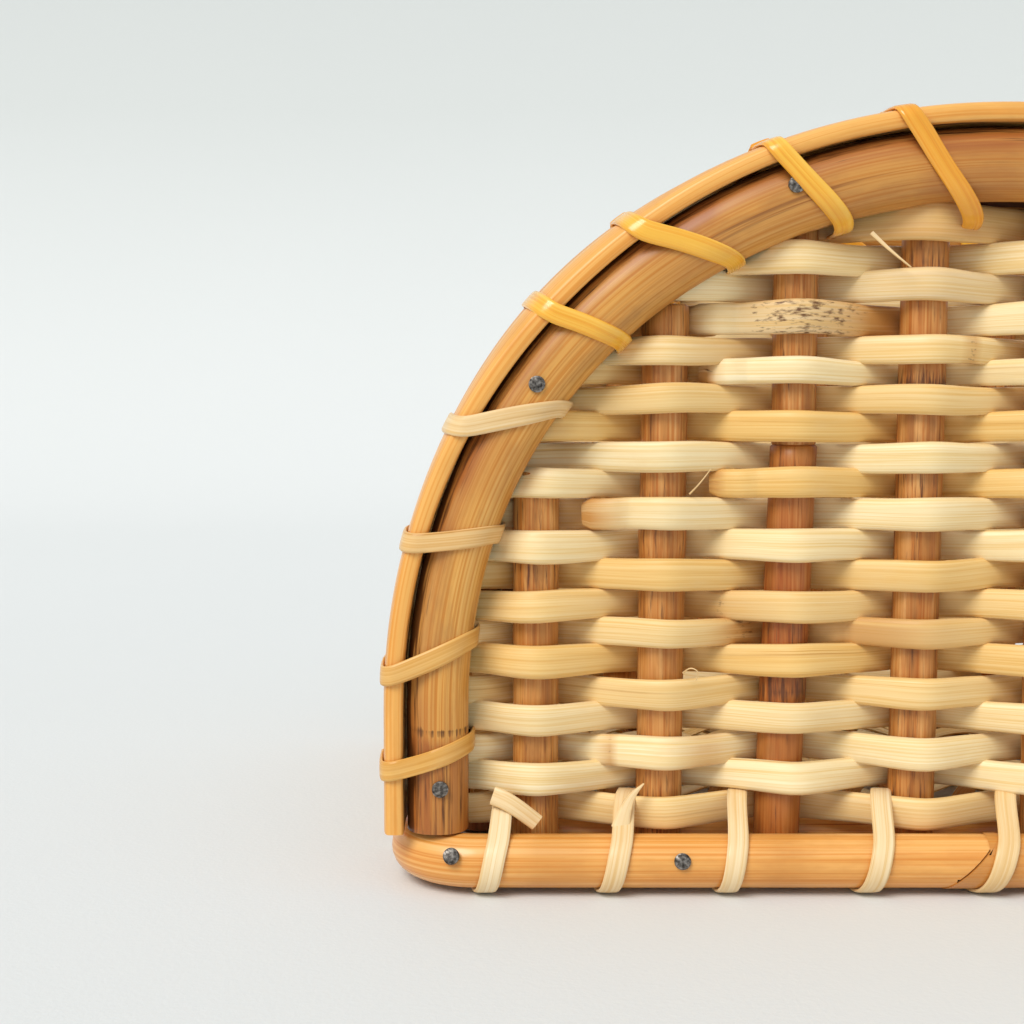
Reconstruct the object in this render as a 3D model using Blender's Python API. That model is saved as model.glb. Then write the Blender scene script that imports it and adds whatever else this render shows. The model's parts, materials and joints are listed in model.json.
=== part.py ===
"""Rattan basket: two tall D-shaped woven sides, two low woven ends and a woven floor.

Metres, +Z up. The tall sides face -Y and +Y and the low ends face -X and +X. Every side stands on
one round base ring. Flat cane is wound along each rim and around the two base rings.
"""

import math
from dataclasses import dataclass

import bmesh
import bpy
import numpy as np
from mathutils import Vector

MM = 0.001
GAP = 0.3 * MM  # between pieces that touch

# The D-shaped outer edge of a tall side: straight legs, then half a superellipse.
ARCH_HALF_WIDTH = 123.6 * MM
ARCH_SPRING = 36.0 * MM  # height where the legs end
ARCH_RISE = 122.2 * MM
ARCH_POWER = 2.08
ARCH_STEPS = 40

# Round rods.
RING_RADIUS = 5.4 * MM
STAKE_RADIUS = 4.75 * MM
CORE_RADIUS = 4.5 * MM
FLOOR_STICK_RADIUS = 3.0 * MM
ROD_SIDES = 12

# Split rods and strips of a tall side's rim.
CAP_THICKNESS = 4.2 * MM
CAP_WIDTH = 24.0 * MM
CAP_CHAMFER = 1.0 * MM
POLE_WIDTH = 13.0 * MM
POLE_DEPTH = 7.0 * MM

# Flat cane.
CANE_WIDTH = 4.4 * MM
CANE_THICKNESS = 0.9 * MM
CANE_CHAMFER = 1.2 * MM
CANE_SETTLING = 0.15 * MM  # how much the corners differ from turn to turn

# Stakes and weave.
STAKE_PITCH = 26.4 * MM
SIDE_STAKES = 8
END_STAKE_PITCH = 24.0 * MM
END_STAKES = 3
WEAVE_HALF_DEPTH = 7.9 * MM

# Layout, as heights above the ground and distances from the basket's middle.
RING_CENTRE_Z = CANE_THICKNESS + GAP + RING_RADIUS
SIDE_Y = 59.25 * MM
END_X = 104.5 * MM
RING_OFFSET = STAKE_RADIUS + GAP + RING_RADIUS  # from a wall's middle plane to either ring
END_RING_OFFSET = 12.9 * MM  # from a low end's middle plane to the outer ring
OUTER_BEND = 13.0 * MM
INNER_BEND = 8.0 * MM
BEND_STEPS = 6
SCARF_X = -5.0 * MM
LASHED_HALF_HEIGHT = RING_RADIUS + GAP
LASHED_TOP = RING_CENTRE_Z + LASHED_HALF_HEIGHT + CANE_THICKNESS
WEAVE_BOTTOM = LASHED_TOP + GAP
LEG_BOTTOM = RING_CENTRE_Z + RING_RADIUS + GAP
STAKE_BOTTOM = 1.3 * MM

# The rim of a tall side, as depths inward from the outer edge.
POLE_EDGE = CAP_THICKNESS + GAP
CORE_CENTRE = POLE_EDGE + POLE_WIDTH / 2
RIM_DEPTH = POLE_EDGE + POLE_WIDTH
WEAVE_EDGE = RIM_DEPTH + 2.0 * MM
POLE_INNER_FACE = STAKE_RADIUS + GAP
RIM_HALF_DEPTH = POLE_INNER_FACE + POLE_DEPTH

# Where the rim's cane goes through the weave on the left half, measured along the outer edge
# from the foot of the leg. The right half mirrors it, and the last stop is near the apex.
RIM_STOPS = [17.5, 40.8, 62.0, 100.2, 121.2, 154.0, 181.9]
RIM_LEAN = 13.0 * MM

# The low ends.
END_HALF_LENGTH = SIDE_Y - RIM_HALF_DEPTH - GAP - CANE_THICKNESS - GAP
END_WEAVE_TOP = 50.9 * MM
RAIL_BOTTOM = 52.4 * MM
RAIL_HEIGHT = 8.0 * MM
RAIL_DEPTH = 5.0 * MM
END_CAP_THICKNESS = 3.0 * MM
END_CAP_HALF_DEPTH = 10.0 * MM
END_LEAN = 6.0 * MM

# The floor.
FLOOR_Z = LEG_BOTTOM + FLOOR_STICK_RADIUS
FLOOR_HALF_X = 86.2 * MM
FLOOR_HALF_Y = 41.5 * MM
FLOOR_HALF_DEPTH = 4.3 * MM
FLOOR_STICKS = 6
FLOOR_STICK_HALF_LENGTH = 49.0 * MM

BASE_LEAN = 1.0 * MM
CORNER_STOP = 103.5 * MM
END_BASE_STOPS = [-36.0, -12.0, 12.0, 36.0]


@dataclass(frozen=True)
class Wood:
    """One kind of rattan: its colour and roughness."""

    colour: str
    roughness: float


BASE_POLE = Wood("C98A4B", 0.35)
ARCH_POLE = Wood("B98A55", 0.40)
CAP_STRIP = Wood("C98F55", 0.38)
STAKE = Wood("A9683A", 0.45)
WEAVER = Wood("E9CF9E", 0.60)
CANE = Wood("E3C58C", 0.42)


def linear_colour(hex_code):
    """An sRGB hex colour as the linear RGBA that a shader takes."""
    values = [int(hex_code[i : i + 2], 16) / 255 for i in (0, 2, 4)]
    return [v / 12.92 if v <= 0.04045 else ((v + 0.055) / 1.055) ** 2.4 for v in values] + [1.0]


def material_for(wood, name):
    """A Principled material of this wood for one sub-part."""
    material = bpy.data.materials.new(name)
    material.use_nodes = True
    shader = material.node_tree.nodes["Principled BSDF"]
    shader.inputs["Base Color"].default_value = linear_colour(wood.colour)
    shader.inputs["Roughness"].default_value = wood.roughness
    shader.inputs["Metallic"].default_value = 0.0
    return material


def add_object(name, mesh, wood, location=(0, 0, 0), turn=0.0):
    """Link one named object, turned about Z by this many degrees, with its own material."""
    own = mesh.copy()
    own.name = name
    own.materials.append(material_for(wood, name))
    piece = bpy.data.objects.new(name, own)
    piece.location = location
    piece.rotation_euler.z = math.radians(turn)
    bpy.context.scene.collection.objects.link(piece)
    return piece


def mesh_from(bm, name):
    """Write a bmesh to a mesh whose faces point outward, shaded smooth where it is round."""
    bmesh.ops.recalc_face_normals(bm, faces=bm.faces[:])
    mesh = bpy.data.meshes.new(name)
    bm.to_mesh(mesh)
    bm.free()
    mesh.shade_smooth()
    mesh.set_sharp_from_angle(angle=math.radians(40))
    return mesh


def extruded(name, sections):
    """A closed solid made by extruding one face through a list of equal-sized sections."""
    bm = bmesh.new()
    start = [bm.verts.new(point) for point in sections[0]]
    face = bm.faces.new(start)
    for section in sections[1:]:
        face = bmesh.ops.extrude_discrete_faces(bm, faces=[face])["faces"][0]
        for vert, point in zip(face.verts, section):
            vert.co = point
    bm.faces.new(reversed(start))
    return mesh_from(bm, name)


def circle(radius, centre=(0.0, 0.0)):
    """A rod's outline in (u, v), with a flat side at the bottom."""
    angles = [2 * math.pi * (i + 0.5) / ROD_SIDES for i in range(ROD_SIDES)]
    return [(centre[0] + radius * math.sin(a), centre[1] + radius * math.cos(a)) for a in angles]


def half_round(width_from, width_to, flat_at, depth, sides=8):
    """A split rod's outline in (u, v): flat at v = flat_at and bulging by depth."""
    centre = (width_from + width_to) / 2
    radius = (width_to - width_from) / 2
    angles = [math.pi * i / sides for i in range(sides + 1)]
    return [(centre - radius * math.cos(a), flat_at + depth * math.sin(a)) for a in angles]


class Arch:
    """The D-shaped outer edge of a tall side, in the side's own plane."""

    def __init__(self):
        angles = np.linspace(0, math.pi, ARCH_STEPS + 1)
        power = 2 / ARCH_POWER
        x = -ARCH_HALF_WIDTH * np.sign(np.cos(angles)) * np.abs(np.cos(angles)) ** power
        z = ARCH_SPRING + ARCH_RISE * np.abs(np.sin(angles)) ** power
        feet = [[-ARCH_HALF_WIDTH, LEG_BOTTOM], [ARCH_HALF_WIDTH, LEG_BOTTOM]]
        self.points = np.vstack([feet[:1], np.column_stack([x, z]), feet[1:]])
        steps = np.linalg.norm(np.diff(self.points, axis=0), axis=1)
        self.runs = np.concatenate([[0.0], np.cumsum(steps)])
        along = np.gradient(self.points, self.runs, axis=0)
        self.inward = np.column_stack([along[:, 1], -along[:, 0]])

    def place(self, run, depth, outward):
        """The point this far along the edge, this deep inside it and this far out of the plane."""
        x, z = (np.interp(run, self.runs, self.points[:, i]) for i in (0, 1))
        nx, nz = (np.interp(run, self.runs, self.inward[:, i]) for i in (0, 1))
        length = math.hypot(nx, nz)
        return Vector((x + depth * nx / length, -outward, z + depth * nz / length))

    def sweep(self, name, outline):
        """A piece of constant outline in (depth, outward) that follows the whole edge."""
        sections = [[self.place(run, u, v) for u, v in outline] for run in self.runs]
        return extruded(name, sections)

    def height(self, x, depth):
        """How high the edge is at x, this deep inside it."""
        inside = [self.place(run, depth, 0.0) for run in self.runs]
        return float(np.interp(x, [p.x for p in inside], [p.z for p in inside]))


def chamfered(corners, cut):
    """Each corner of a rectangle in (u, v) as the two points that a chamfer leaves."""
    points = []
    for i, corner in enumerate(corners):
        here = Vector(corner)
        for other in (corners[i - 1], corners[(i + 1) % 4]):
            points.append(here + (Vector(other) - here).normalized() * cut)
    return points


def wound_cane(name, place, corners, turns):
    """Flat cane wound around a rectangle.

    place maps (run, u, v) to a point, corners are the rectangle's four in (u, v) and each turn
    gives the run at which the cane passes each corner.
    """
    centre = sum((Vector(c) for c in corners), Vector((0.0, 0.0))) / 4
    outer = []
    for corner in corners:
        side = Vector(corner) - centre
        out = Vector((math.copysign(CANE_THICKNESS, side.x), math.copysign(CANE_THICKNESS, side.y)))
        outer.append(Vector(corner) + out)
    half = CANE_WIDTH / 2
    sections = []
    for number, turn in enumerate(turns):
        chamfer = CANE_CHAMFER + CANE_SETTLING * math.sin(number)
        inside = chamfered(corners, chamfer)
        outside = chamfered(outer, chamfer + CANE_THICKNESS * (2 - math.sqrt(2)))
        for i in range(8):
            (u, v), (u_out, v_out), run = inside[i], outside[i], turn[i // 2]
            sections.append(
                [
                    place(run - half, u, v),
                    place(run + half, u, v),
                    place(run + half, u_out, v_out),
                    place(run - half, u_out, v_out),
                ]
            )
    return extruded(name, sections)


def rods_upright(radius, places, bottom, tops):
    """One bmesh of upright rods at these x, each from bottom to its own top."""
    bm = bmesh.new()
    for x, top in zip(places, tops):
        made = bmesh.ops.create_cone(
            bm, cap_ends=True, segments=ROD_SIDES, radius1=radius, radius2=radius, depth=top - bottom
        )
        bmesh.ops.translate(bm, verts=made["verts"], vec=(x, 0, (top + bottom) / 2))
    return bm


def with_channels(mesh, cutter_bm, turn=(0, 0, 0)):
    """A copy of a slab with a round channel through it for each of the cutter's rods."""
    cutter = bpy.data.objects.new("channel_cutter", mesh_from(cutter_bm, "channel_cutter"))
    cutter.rotation_euler = turn
    cutter.hide_render = True
    cutter.display_type = "WIRE"
    slab = bpy.data.objects.new("slab", mesh)
    for helper in (slab, cutter):
        bpy.context.scene.collection.objects.link(helper)
    cut = slab.modifiers.new("channels", "BOOLEAN")
    cut.operation = "DIFFERENCE"
    cut.solver = "EXACT"
    cut.object = cutter
    bpy.context.view_layer.update()
    result = bpy.data.meshes.new_from_object(slab.evaluated_get(bpy.context.evaluated_depsgraph_get()))
    for helper in (slab, cutter):
        bpy.data.objects.remove(helper)
    return result


def spread(count, pitch):
    """Positions of count things, pitch apart, about zero."""
    return [(i - (count - 1) / 2) * pitch for i in range(count)]


def build_tall_side(arch, side, y, turn):
    """One D-shaped side: stakes, weave, core rod, two split poles, cap strip and rim cane."""
    place = {"location": (0, y, 0), "turn": turn}
    stakes = spread(SIDE_STAKES, STAKE_PITCH)
    core_edge = CORE_CENTRE + CORE_RADIUS + GAP
    tops = [min(arch.height(x + e, core_edge) for e in (-STAKE_RADIUS, STAKE_RADIUS)) for x in stakes]
    for number, (x, top) in enumerate(zip(stakes, tops), start=1):
        rod = mesh_from(rods_upright(STAKE_RADIUS, [x], STAKE_BOTTOM, [top]), "stake")
        add_object(f"{side}_stake_{number}", rod, STAKE, **place)

    slab_sections = []
    for run in arch.runs[1:-1]:
        edge = arch.place(run, WEAVE_EDGE, 0.0)
        corners = [(-1, WEAVE_BOTTOM), (1, WEAVE_BOTTOM), (1, edge.z), (-1, edge.z)]
        slab_sections.append([Vector((edge.x, s * WEAVE_HALF_DEPTH, z)) for s, z in corners])
    past = 2 * STAKE_RADIUS
    cutter = rods_upright(STAKE_RADIUS + GAP, stakes, STAKE_BOTTOM, [top + past for top in tops])
    add_object(f"{side}_weave", with_channels(extruded("weave", slab_sections), cutter), WEAVER, **place)

    core = arch.sweep("core", circle(CORE_RADIUS, (CORE_CENTRE, 0.0)))
    add_object(f"{side}_arch_core", core, ARCH_POLE, **place)
    for layer, sign in (("outer", 1), ("inner", -1)):
        outline = half_round(POLE_EDGE, RIM_DEPTH, sign * POLE_INNER_FACE, sign * POLE_DEPTH)
        add_object(f"{side}_{layer}_pole", arch.sweep("pole", outline), ARCH_POLE, **place)
    half = CAP_WIDTH / 2
    rectangle = [(0.0, half), (CAP_THICKNESS, half), (CAP_THICKNESS, -half), (0.0, -half)]
    cap = arch.sweep("cap", chamfered(rectangle, CAP_CHAMFER))
    add_object(f"{side}_cap_strip", cap, CAP_STRIP, **place)

    left = [stop * MM for stop in RIM_STOPS]
    whole = arch.runs[-1]
    stops = left + [whole / 2] + [whole - stop for stop in reversed(left)]
    nexts = stops[1:] + [stops[-1] + RIM_LEAN]
    turns = [(s - RIM_LEAN, s, s, n - RIM_LEAN) for s, n in zip(stops, nexts)]
    edge, deep, out = -GAP, RIM_DEPTH + GAP, RIM_HALF_DEPTH + GAP
    wound = wound_cane("cane", arch.place, [(edge, out), (deep, out), (deep, -out), (edge, -out)], turns)
    add_object(f"{side}_rim_lashing", wound, CANE, **place)


def build_low_end(side, x, turn):
    """One low end wall: stakes, weave, two rails, a cap strip and rim cane."""
    place = {"location": (x, 0, 0), "turn": turn}
    rail_top = RAIL_BOTTOM + RAIL_HEIGHT
    stakes = spread(END_STAKES, END_STAKE_PITCH)
    for number, along in enumerate(stakes, start=1):
        rod = mesh_from(rods_upright(STAKE_RADIUS, [along], STAKE_BOTTOM, [rail_top]), "stake")
        add_object(f"{side}_stake_{number}", rod, STAKE, **place)

    def straight(name, outline):
        """A piece of constant outline in (outward, height) along the whole wall."""
        ends = (-END_HALF_LENGTH, END_HALF_LENGTH)
        return extruded(name, [[Vector((end, -u, v)) for u, v in outline] for end in ends])

    deep = WEAVE_HALF_DEPTH
    slab = [(-deep, WEAVE_BOTTOM), (deep, WEAVE_BOTTOM), (deep, END_WEAVE_TOP), (-deep, END_WEAVE_TOP)]
    cutter = rods_upright(STAKE_RADIUS + GAP, stakes, STAKE_BOTTOM, [rail_top] * END_STAKES)
    add_object(f"{side}_weave", with_channels(straight("weave", slab), cutter), WEAVER, **place)
    for layer, sign in (("outer", 1), ("inner", -1)):
        outline = half_round(RAIL_BOTTOM, rail_top, sign * POLE_INNER_FACE, sign * RAIL_DEPTH)
        rail = straight("rail", [(v, u) for u, v in outline])
        add_object(f"{side}_{layer}_rail", rail, ARCH_POLE, **place)
    low, high, half = rail_top + GAP, rail_top + GAP + END_CAP_THICKNESS, END_CAP_HALF_DEPTH
    rectangle = [(-half, low), (half, low), (half, high), (-half, high)]
    add_object(f"{side}_cap_strip", straight("cap", chamfered(rectangle, CAP_CHAMFER)), CAP_STRIP, **place)

    stops = spread(END_STAKES + 1, END_STAKE_PITCH)
    nexts = stops[1:] + [stops[-1] + END_LEAN]
    turns = [(s - END_LEAN, s, s, n - END_LEAN) for s, n in zip(stops, nexts)]
    out, low, high = POLE_INNER_FACE + RAIL_DEPTH + GAP, RAIL_BOTTOM - GAP, high + GAP
    corners = [(high, out), (low, out), (low, -out), (high, -out)]
    wound = wound_cane("cane", lambda run, u, v: Vector((run, -v, u)), corners, turns)
    add_object(f"{side}_rim_lashing", wound, CANE, **place)


def ring_stations(half_x, half_y, bend, scarf_x):
    """Centre points and outward directions around a rounded rectangle, from its scarf joint."""
    stations = [(Vector((scarf_x, -half_y)), Vector((0, -1)))]
    for corner, (sx, sy) in enumerate(((1, -1), (1, 1), (-1, 1), (-1, -1))):
        centre = Vector((sx * (half_x - bend), sy * (half_y - bend)))
        for step in range(BEND_STEPS + 1):
            angle = math.radians(-90 + 90 * corner + 90 * step / BEND_STEPS)
            out = Vector((math.cos(angle), math.sin(angle)))
            stations.append((centre + out * bend, out))
    stations.append((Vector((scarf_x - GAP * 1.5, -half_y)), Vector((0, -1))))
    return stations


def build_ring(name, half_x, half_y, bend, scarf_x, turn=0.0):
    """A round rod bent into a ring, whose two ends meet at a slanting scarf joint."""
    stations = ring_stations(half_x, half_y, bend, scarf_x)
    sections = []
    for number, (centre, out) in enumerate(stations):
        slant = 1.0 if number in (0, len(stations) - 1) else 0.0
        section = []
        for u, v in circle(RING_RADIUS):
            point = centre + out * u + Vector((-out.y, out.x)) * v * slant
            section.append(Vector((point.x, point.y, RING_CENTRE_Z + v)))
        sections.append(section)
    add_object(name, extruded(name, sections), BASE_POLE, turn=turn)


def build_base_lashing(side, middle, outer_offset, stops, turn):
    """Cane wound around both base rings along one wall.

    middle is how far out the wall's middle plane is and outer_offset is from there to the outer ring.
    """
    outer = -(middle + outer_offset + LASHED_HALF_HEIGHT)
    inner = -(middle - RING_OFFSET - LASHED_HALF_HEIGHT)
    low, high = RING_CENTRE_Z - LASHED_HALF_HEIGHT, RING_CENTRE_Z + LASHED_HALF_HEIGHT
    corners = [(outer, high), (outer, low), (inner, low), (inner, high)]
    nexts = stops[1:] + [stops[-1] + 3 * BASE_LEAN]
    turns = [(s, s + BASE_LEAN, n - BASE_LEAN, n) for s, n in zip(stops, nexts)]
    wound = wound_cane("cane", lambda run, u, v: Vector((run, u, v)), corners, turns)
    add_object(f"{side}_base_lashing", wound, CANE, turn=turn)


def build_base():
    """Both rings and the four runs of cane around them."""
    build_ring("base_ring", END_X + END_RING_OFFSET, SIDE_Y + RING_OFFSET, OUTER_BEND, SCARF_X)
    inner = (END_X - RING_OFFSET, SIDE_Y - RING_OFFSET, INNER_BEND)
    build_ring("inner_base_ring", *inner, SCARF_X, turn=180)
    between = spread(SIDE_STAKES - 1, STAKE_PITCH)
    long_stops = [-CORNER_STOP, *between, CORNER_STOP]
    end_stops = [stop * MM for stop in END_BASE_STOPS]
    build_base_lashing("front", SIDE_Y, RING_OFFSET, long_stops, 0)
    build_base_lashing("back", SIDE_Y, RING_OFFSET, long_stops, 180)
    build_base_lashing("left", END_X, END_RING_OFFSET, end_stops, -90)
    build_base_lashing("right", END_X, END_RING_OFFSET, end_stops, 90)


def build_floor():
    """The woven floor and the sticks it is woven on, whose ends lie on the inner ring."""
    sticks = spread(FLOOR_STICKS, STAKE_PITCH)
    half = FLOOR_STICK_HALF_LENGTH
    for number, x in enumerate(sticks, start=1):
        rod = mesh_from(rods_upright(FLOOR_STICK_RADIUS, [x], -half, [half]), "stick")
        stick = add_object(f"floor_stick_{number}", rod, STAKE, location=(0, 0, FLOOR_Z))
        stick.rotation_euler.x = math.radians(90)
    corners = [(-1, -1), (1, -1), (1, 1), (-1, 1)]
    slab = extruded(
        "floor",
        [
            [Vector((x, s * FLOOR_HALF_Y, t * FLOOR_HALF_DEPTH)) for s, t in corners]
            for x in (-FLOOR_HALF_X, FLOOR_HALF_X)
        ],
    )
    cutter = rods_upright(FLOOR_STICK_RADIUS + GAP, sticks, -half, [half] * FLOOR_STICKS)
    floor = with_channels(slab, cutter, turn=(math.radians(90), 0, 0))
    add_object("floor_weave", floor, WEAVER, location=(0, 0, FLOOR_Z))


def main():
    """Clear the scene and build the whole basket."""
    for piece in list(bpy.data.objects):
        bpy.data.objects.remove(piece)
    arch = Arch()
    build_tall_side(arch, "front", -SIDE_Y, 0)
    build_tall_side(arch, "back", SIDE_Y, 180)
    build_low_end("left", -END_X, -90)
    build_low_end("right", END_X, 90)
    build_floor()
    build_base()


main()
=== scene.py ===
import json
import logging
import math
from dataclasses import dataclass, field
from enum import Enum

import bmesh
import bpy
import numpy as np
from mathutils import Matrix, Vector

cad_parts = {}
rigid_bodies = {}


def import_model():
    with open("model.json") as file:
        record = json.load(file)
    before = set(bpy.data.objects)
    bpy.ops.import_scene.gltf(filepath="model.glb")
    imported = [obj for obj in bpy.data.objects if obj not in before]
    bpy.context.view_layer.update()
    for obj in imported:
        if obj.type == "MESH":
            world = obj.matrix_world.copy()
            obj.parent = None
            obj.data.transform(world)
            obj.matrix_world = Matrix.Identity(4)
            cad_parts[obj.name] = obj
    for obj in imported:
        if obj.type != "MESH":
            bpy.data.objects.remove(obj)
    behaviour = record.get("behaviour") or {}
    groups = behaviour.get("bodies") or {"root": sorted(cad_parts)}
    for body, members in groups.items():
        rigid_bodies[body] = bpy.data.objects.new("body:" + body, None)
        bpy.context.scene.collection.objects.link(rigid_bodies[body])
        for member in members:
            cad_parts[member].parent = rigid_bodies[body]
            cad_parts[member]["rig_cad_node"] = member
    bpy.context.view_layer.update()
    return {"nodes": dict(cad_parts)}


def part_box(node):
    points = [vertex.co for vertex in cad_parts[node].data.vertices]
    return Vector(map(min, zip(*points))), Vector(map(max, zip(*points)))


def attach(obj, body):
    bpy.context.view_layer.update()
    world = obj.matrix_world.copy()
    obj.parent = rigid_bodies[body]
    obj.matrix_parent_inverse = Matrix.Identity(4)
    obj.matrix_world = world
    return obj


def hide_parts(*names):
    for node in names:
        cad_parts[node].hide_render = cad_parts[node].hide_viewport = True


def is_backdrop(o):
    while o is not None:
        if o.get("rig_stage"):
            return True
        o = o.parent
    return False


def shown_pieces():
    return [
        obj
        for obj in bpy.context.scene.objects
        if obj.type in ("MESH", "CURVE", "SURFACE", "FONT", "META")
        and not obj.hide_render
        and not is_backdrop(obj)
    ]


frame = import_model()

log = logging.getLogger("basket")
MM = 0.001
GRAIN_UV = "grain"  # metres along a strand, metres around it
MIX_FACTOR, MIX_A, MIX_B, MIX_OUT = 0, 6, 7, 2  # the colour sockets of a Mix node
FROM_LOW, FROM_HIGH, TO_LOW, TO_HIGH = 1, 2, 3, 4  # the sockets of a Map Range node
CANE_SIDES = 12  # points around a flat strand of cane


class Grain(Enum):
    """Which way a finish's grain runs: along a bent strand, up, or across the floor."""

    STRAND = "strand"
    UPRIGHT = "upright"
    ACROSS = "across"


class Wall(Enum):
    """One wall of the basket: its name and how far it is turned about the vertical axis."""

    FRONT = ("front", 0.0)
    BACK = ("back", 180.0)
    LEFT = ("left", -90.0)
    RIGHT = ("right", 90.0)

    @property
    def label(self) -> str:
        """The wall's name, as its CAD nodes start."""
        return self.value[0]

    def out(self) -> float:
        """How far the wall's stakes stand from the basket's middle."""
        low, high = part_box(f"{self.label}_stake_1")
        middle = (low + high) / 2
        return abs(middle.y) if self in (Wall.FRONT, Wall.BACK) else abs(middle.x)

    def place(self, points: np.ndarray) -> np.ndarray:
        """Turn points from the wall's own frame, where it faces -Y, into the basket's.

        Args:
            points: any array whose last axis is x, y, z.

        Returns:
            The same points in the basket's frame.
        """
        turn = math.radians(self.value[1])
        x, y = points[..., 0], points[..., 1] - self.out()
        cos, sin = math.cos(turn), math.sin(turn)
        return np.stack([x * cos - y * sin, x * sin + y * cos, points[..., 2]], axis=-1)


# ---------------------------------------------------------------- finishes


def linear(hex_code: str) -> tuple[float, float, float, float]:
    """An sRGB hex colour as the linear RGBA that a shader takes."""
    values = [int(hex_code[i : i + 2], 16) / 255 for i in (0, 2, 4)]
    flat = [v / 12.92 if v <= 0.04045 else ((v + 0.055) / 1.055) ** 2.4 for v in values]
    return (*flat, 1.0)


def add(tree: bpy.types.NodeTree, kind: str, inputs: dict | None = None, **settings) -> bpy.types.Node:
    """Add a node with its settings, values and links.

    Args:
        tree: the material's nodes.
        kind: the node's type.
        inputs: socket name or number to a value or to the socket that feeds it.
        settings: the node's own properties; stops is a colour ramp's list of (position, hex).

    Returns:
        The new node.
    """
    node = tree.nodes.new(kind)
    for key, value in settings.items():
        if key != "stops":
            setattr(node, key, value)
            continue
        ramp = node.color_ramp.elements
        while len(ramp) < len(value):
            ramp.new(1.0)
        for element, (position, colour) in zip(ramp, value):
            element.position = position
            element.color = linear(colour)
    for key, value in (inputs or {}).items():
        if isinstance(value, bpy.types.NodeSocket):
            tree.links.new(value, node.inputs[key])
        else:
            node.inputs[key].default_value = value
    return node


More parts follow.
